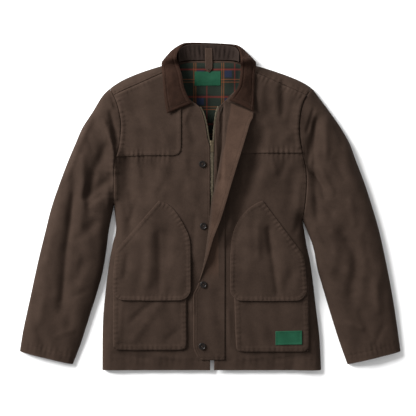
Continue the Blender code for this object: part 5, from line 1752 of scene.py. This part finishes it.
# --------------------------------------------------------------------- stage
def make_stage():
    """Pale floor, soft key from the upper left, fill, and the camera."""
    scene = bpy.context.scene
    stage = scene.coat_stage
    mesh = bpy.data.meshes.new("floor")
    mesh.from_pydata([(x * FLOOR_HALF, y * FLOOR_HALF, FLOOR_Z) for x, y in
                      ((-1, -1), (1, -1), (1, 1), (-1, 1))], [], [(0, 1, 2, 3)])
    floor = bpy.data.objects.new("floor", mesh)
    scene.collection.objects.link(floor)
    made, g, shader, place = finish_material("pale_floor", (0.93, 0.93, 0.93), 0.85)
    g.put(shader.inputs["Roughness"], g.range(g.noise(place["Object"], 6.0), 0.3, 0.7, 0.82, 0.9))
    floor.data.materials.append(made)

    def lamp(name, place, power, size):
        light = bpy.data.lights.new(name, "AREA")
        light.shape, light.size, light.energy = "DISK", size, power
        item = bpy.data.objects.new(name, light)
        scene.collection.objects.link(item)
        item.location = place
        item.rotation_euler = (-Vector(place)).to_track_quat("-Z", "Y").to_euler()

    lamp("key", (-4.1, 2.7, 3.0), stage.key_power, 3.3)
    lamp("fill", (1.6, 0.4, 2.6), stage.fill_power, 2.4)
    world = bpy.data.worlds.new("studio")
    world.use_nodes = True
    world.node_tree.nodes["Background"].inputs[0].default_value = (1, 1, 1, 1)
    world.node_tree.nodes["Background"].inputs[1].default_value = stage.sky
    scene.world = world
    scene.view_settings.view_transform = "Standard"

    camera = bpy.data.cameras.new("camera")
    camera.sensor_width = 36.0
    camera.lens = camera.sensor_width * stage.distance / stage.frame_width
    camera.clip_end = 20.0
    item = bpy.data.objects.new("camera", camera)
    scene.collection.objects.link(item)
    item.location = (stage.centre_x, stage.centre_y, stage.distance + 0.015)
    scene.camera = item


# ------------------------------------------------------------ add-on layout
def colour_property(name, text, default):
    """A colour from its red, green and blue shares."""
    return bpy.props.FloatVectorProperty(name=name, description=text, default=default,
                                         subtype="COLOR", size=3, min=0.0, max=1.0)


def size_property(name, text, default):
    """A length kept in metres, its default given in mm."""
    return bpy.props.FloatProperty(name=name, description=text, default=default * MM,
                                   min=0.0001, precision=5, unit="LENGTH")


class CoatSewing(bpy.types.PropertyGroup):
    """Sizes of the sewing and of the zip."""
    stitch_pitch: size_property("Stitch pitch", "From one stitch to the next", 3.3)
    stitch_length: size_property("Stitch length", "Length of each stitch that shows", 2.5)
    thread_radius: size_property("Thread radius", "Half the thickness of the thread", 0.42)
    tooth_pitch: size_property("Tooth pitch", "From one tooth to the next on a tape", 2.4)


class CoatColours(bpy.types.PropertyGroup):
    """Colours of the coat's finishes."""
    canvas: colour_property("Canvas", "Brown cotton canvas", (0.0272, 0.0175, 0.0130))
    # Painted shade: the stand's canvas, darker than the canvas outside, stands in for the shade inside the
    # neck.
    facing: colour_property("Facing", "Canvas inside the neck", (0.0165, 0.0112, 0.0092))
    corduroy: colour_property("Corduroy", "Collar", (0.0160, 0.0080, 0.0054))
    thread: colour_property("Thread", "Sewing thread", (0.034, 0.022, 0.016))
    tape: colour_property("Tape", "Zip tape", (0.022, 0.016, 0.012))
    label: colour_property("Label", "Woven labels", (0.0052, 0.045, 0.022))
    lining: colour_property("Lining ground", "Darkest bars of the plaid", (0.0072, 0.0092, 0.0076))
    plaid_green: colour_property("Plaid green", "Green bars", (0.0120, 0.0170, 0.0122))
    plaid_navy: colour_property("Plaid navy", "Navy bars", (0.0085, 0.0115, 0.0270))
    plaid_red: colour_property("Plaid red", "Red lines", (0.110, 0.012, 0.010))
    plaid_orange: colour_property("Plaid orange", "Orange lines", (0.190, 0.060, 0.018))
    brass: colour_property("Brass", "Slider and pull tab", (0.120, 0.094, 0.060))
    teeth: colour_property("Teeth", "Zip teeth", (0.190, 0.158, 0.110))
    horn: colour_property("Horn", "Buttons", (0.006, 0.0045, 0.004))


class CoatStage(bpy.types.PropertyGroup):
    """Light and camera."""
    key_power: bpy.props.FloatProperty(name="Key light", description="Soft light from the upper left",
                                       default=930.0, min=0.0, unit="POWER")
    fill_power: bpy.props.FloatProperty(name="Fill light", description="Broad light from the right",
                                        default=6.0, min=0.0, unit="POWER")
    sky: bpy.props.FloatProperty(name="Sky", description="Strength of the white surroundings",
                                 default=0.50, min=0.0, subtype="FACTOR")
    distance: bpy.props.FloatProperty(name="Camera distance", description="Height of the camera",
                                      default=3.2, min=0.5, unit="LENGTH")
    frame_width: bpy.props.FloatProperty(name="Frame width", description="Width seen at the cloth",
                                         default=1.019, min=0.1, unit="LENGTH")
    centre_x: bpy.props.FloatProperty(name="Centre X", description="Middle of the picture",
                                      default=-0.0051, unit="LENGTH")
    centre_y: bpy.props.FloatProperty(name="Centre Y", description="Middle of the picture",
                                      default=-0.0042, unit="LENGTH")


def operator(idname, label, text, action):
    """Operator class that runs one of the making functions."""
    def execute(self, context):
        action()
        return {"FINISHED"}
    name = "COAT_OT_" + idname
    return type(name, (bpy.types.Operator,), {"bl_idname": "coat." + idname, "bl_label": label,
                                              "__doc__": text, "execute": execute})


OPERATORS = [
    operator("stage", "Stage", "Floor, lights and camera", make_stage),
    operator("back", "Back", "Back panel on the floor", make_back),
    operator("fronts", "Fronts", "Both fronts and the shoulders", make_fronts),
    operator("sleeves", "Sleeves", "Top and under sleeves", make_sleeves),
    operator("patches", "Patch and yoke", "Shoulder patch and front yoke", make_patches),
    operator("pockets", "Pockets", "Hand pockets, bellows pockets and label", make_pockets),
    operator("neck", "Neck", "Stand, lining, label and hanger tab", make_neck),
    operator("collar", "Collar", "Corduroy collar", make_collar),
    operator("zip", "Zip", "Tapes, teeth, slider and pull tab", make_zip),
    operator("flap", "Storm flap", "Flap along the left front", make_flap),
    operator("buttons", "Buttons", "Four buttons with their thread", make_buttons),
    operator("stitching", "Stitching", "Rows of stitches", make_stitching),
]


class COAT_PT_panel(bpy.types.Panel):
    """Lists the settings and the steps in the sidebar."""
    bl_idname = "COAT_PT_panel"
    bl_label = "Field coat"
    bl_space_type = "VIEW_3D"
    bl_region_type = "UI"
    bl_category = "Coat"

    def draw(self, context):
        for group in (context.scene.coat_stage, context.scene.coat_sewing,
                      context.scene.coat_colours):
            box = self.layout.box()
            for key in group.bl_rna.properties.keys():
                if key not in ("rna_type", "name"):
                    box.prop(group, key)
        for step in OPERATORS:
            self.layout.operator(step.bl_idname)


CLASSES = [CoatSewing, CoatColours, CoatStage, *OPERATORS, COAT_PT_panel]


def register():
    for kind in CLASSES:
        bpy.utils.register_class(kind)
    bpy.types.Scene.coat_sewing = bpy.props.PointerProperty(type=CoatSewing)
    bpy.types.Scene.coat_colours = bpy.props.PointerProperty(type=CoatColours)
    bpy.types.Scene.coat_stage = bpy.props.PointerProperty(type=CoatStage)


def unregister():
    del bpy.types.Scene.coat_sewing
    del bpy.types.Scene.coat_colours
    del bpy.types.Scene.coat_stage
    for kind in reversed(CLASSES):
        bpy.utils.unregister_class(kind)


def main():
    register()
    for step in OPERATORS:
        getattr(bpy.ops.coat, step.bl_idname.split(".")[1])()


if __name__ == "__main__":
    main()
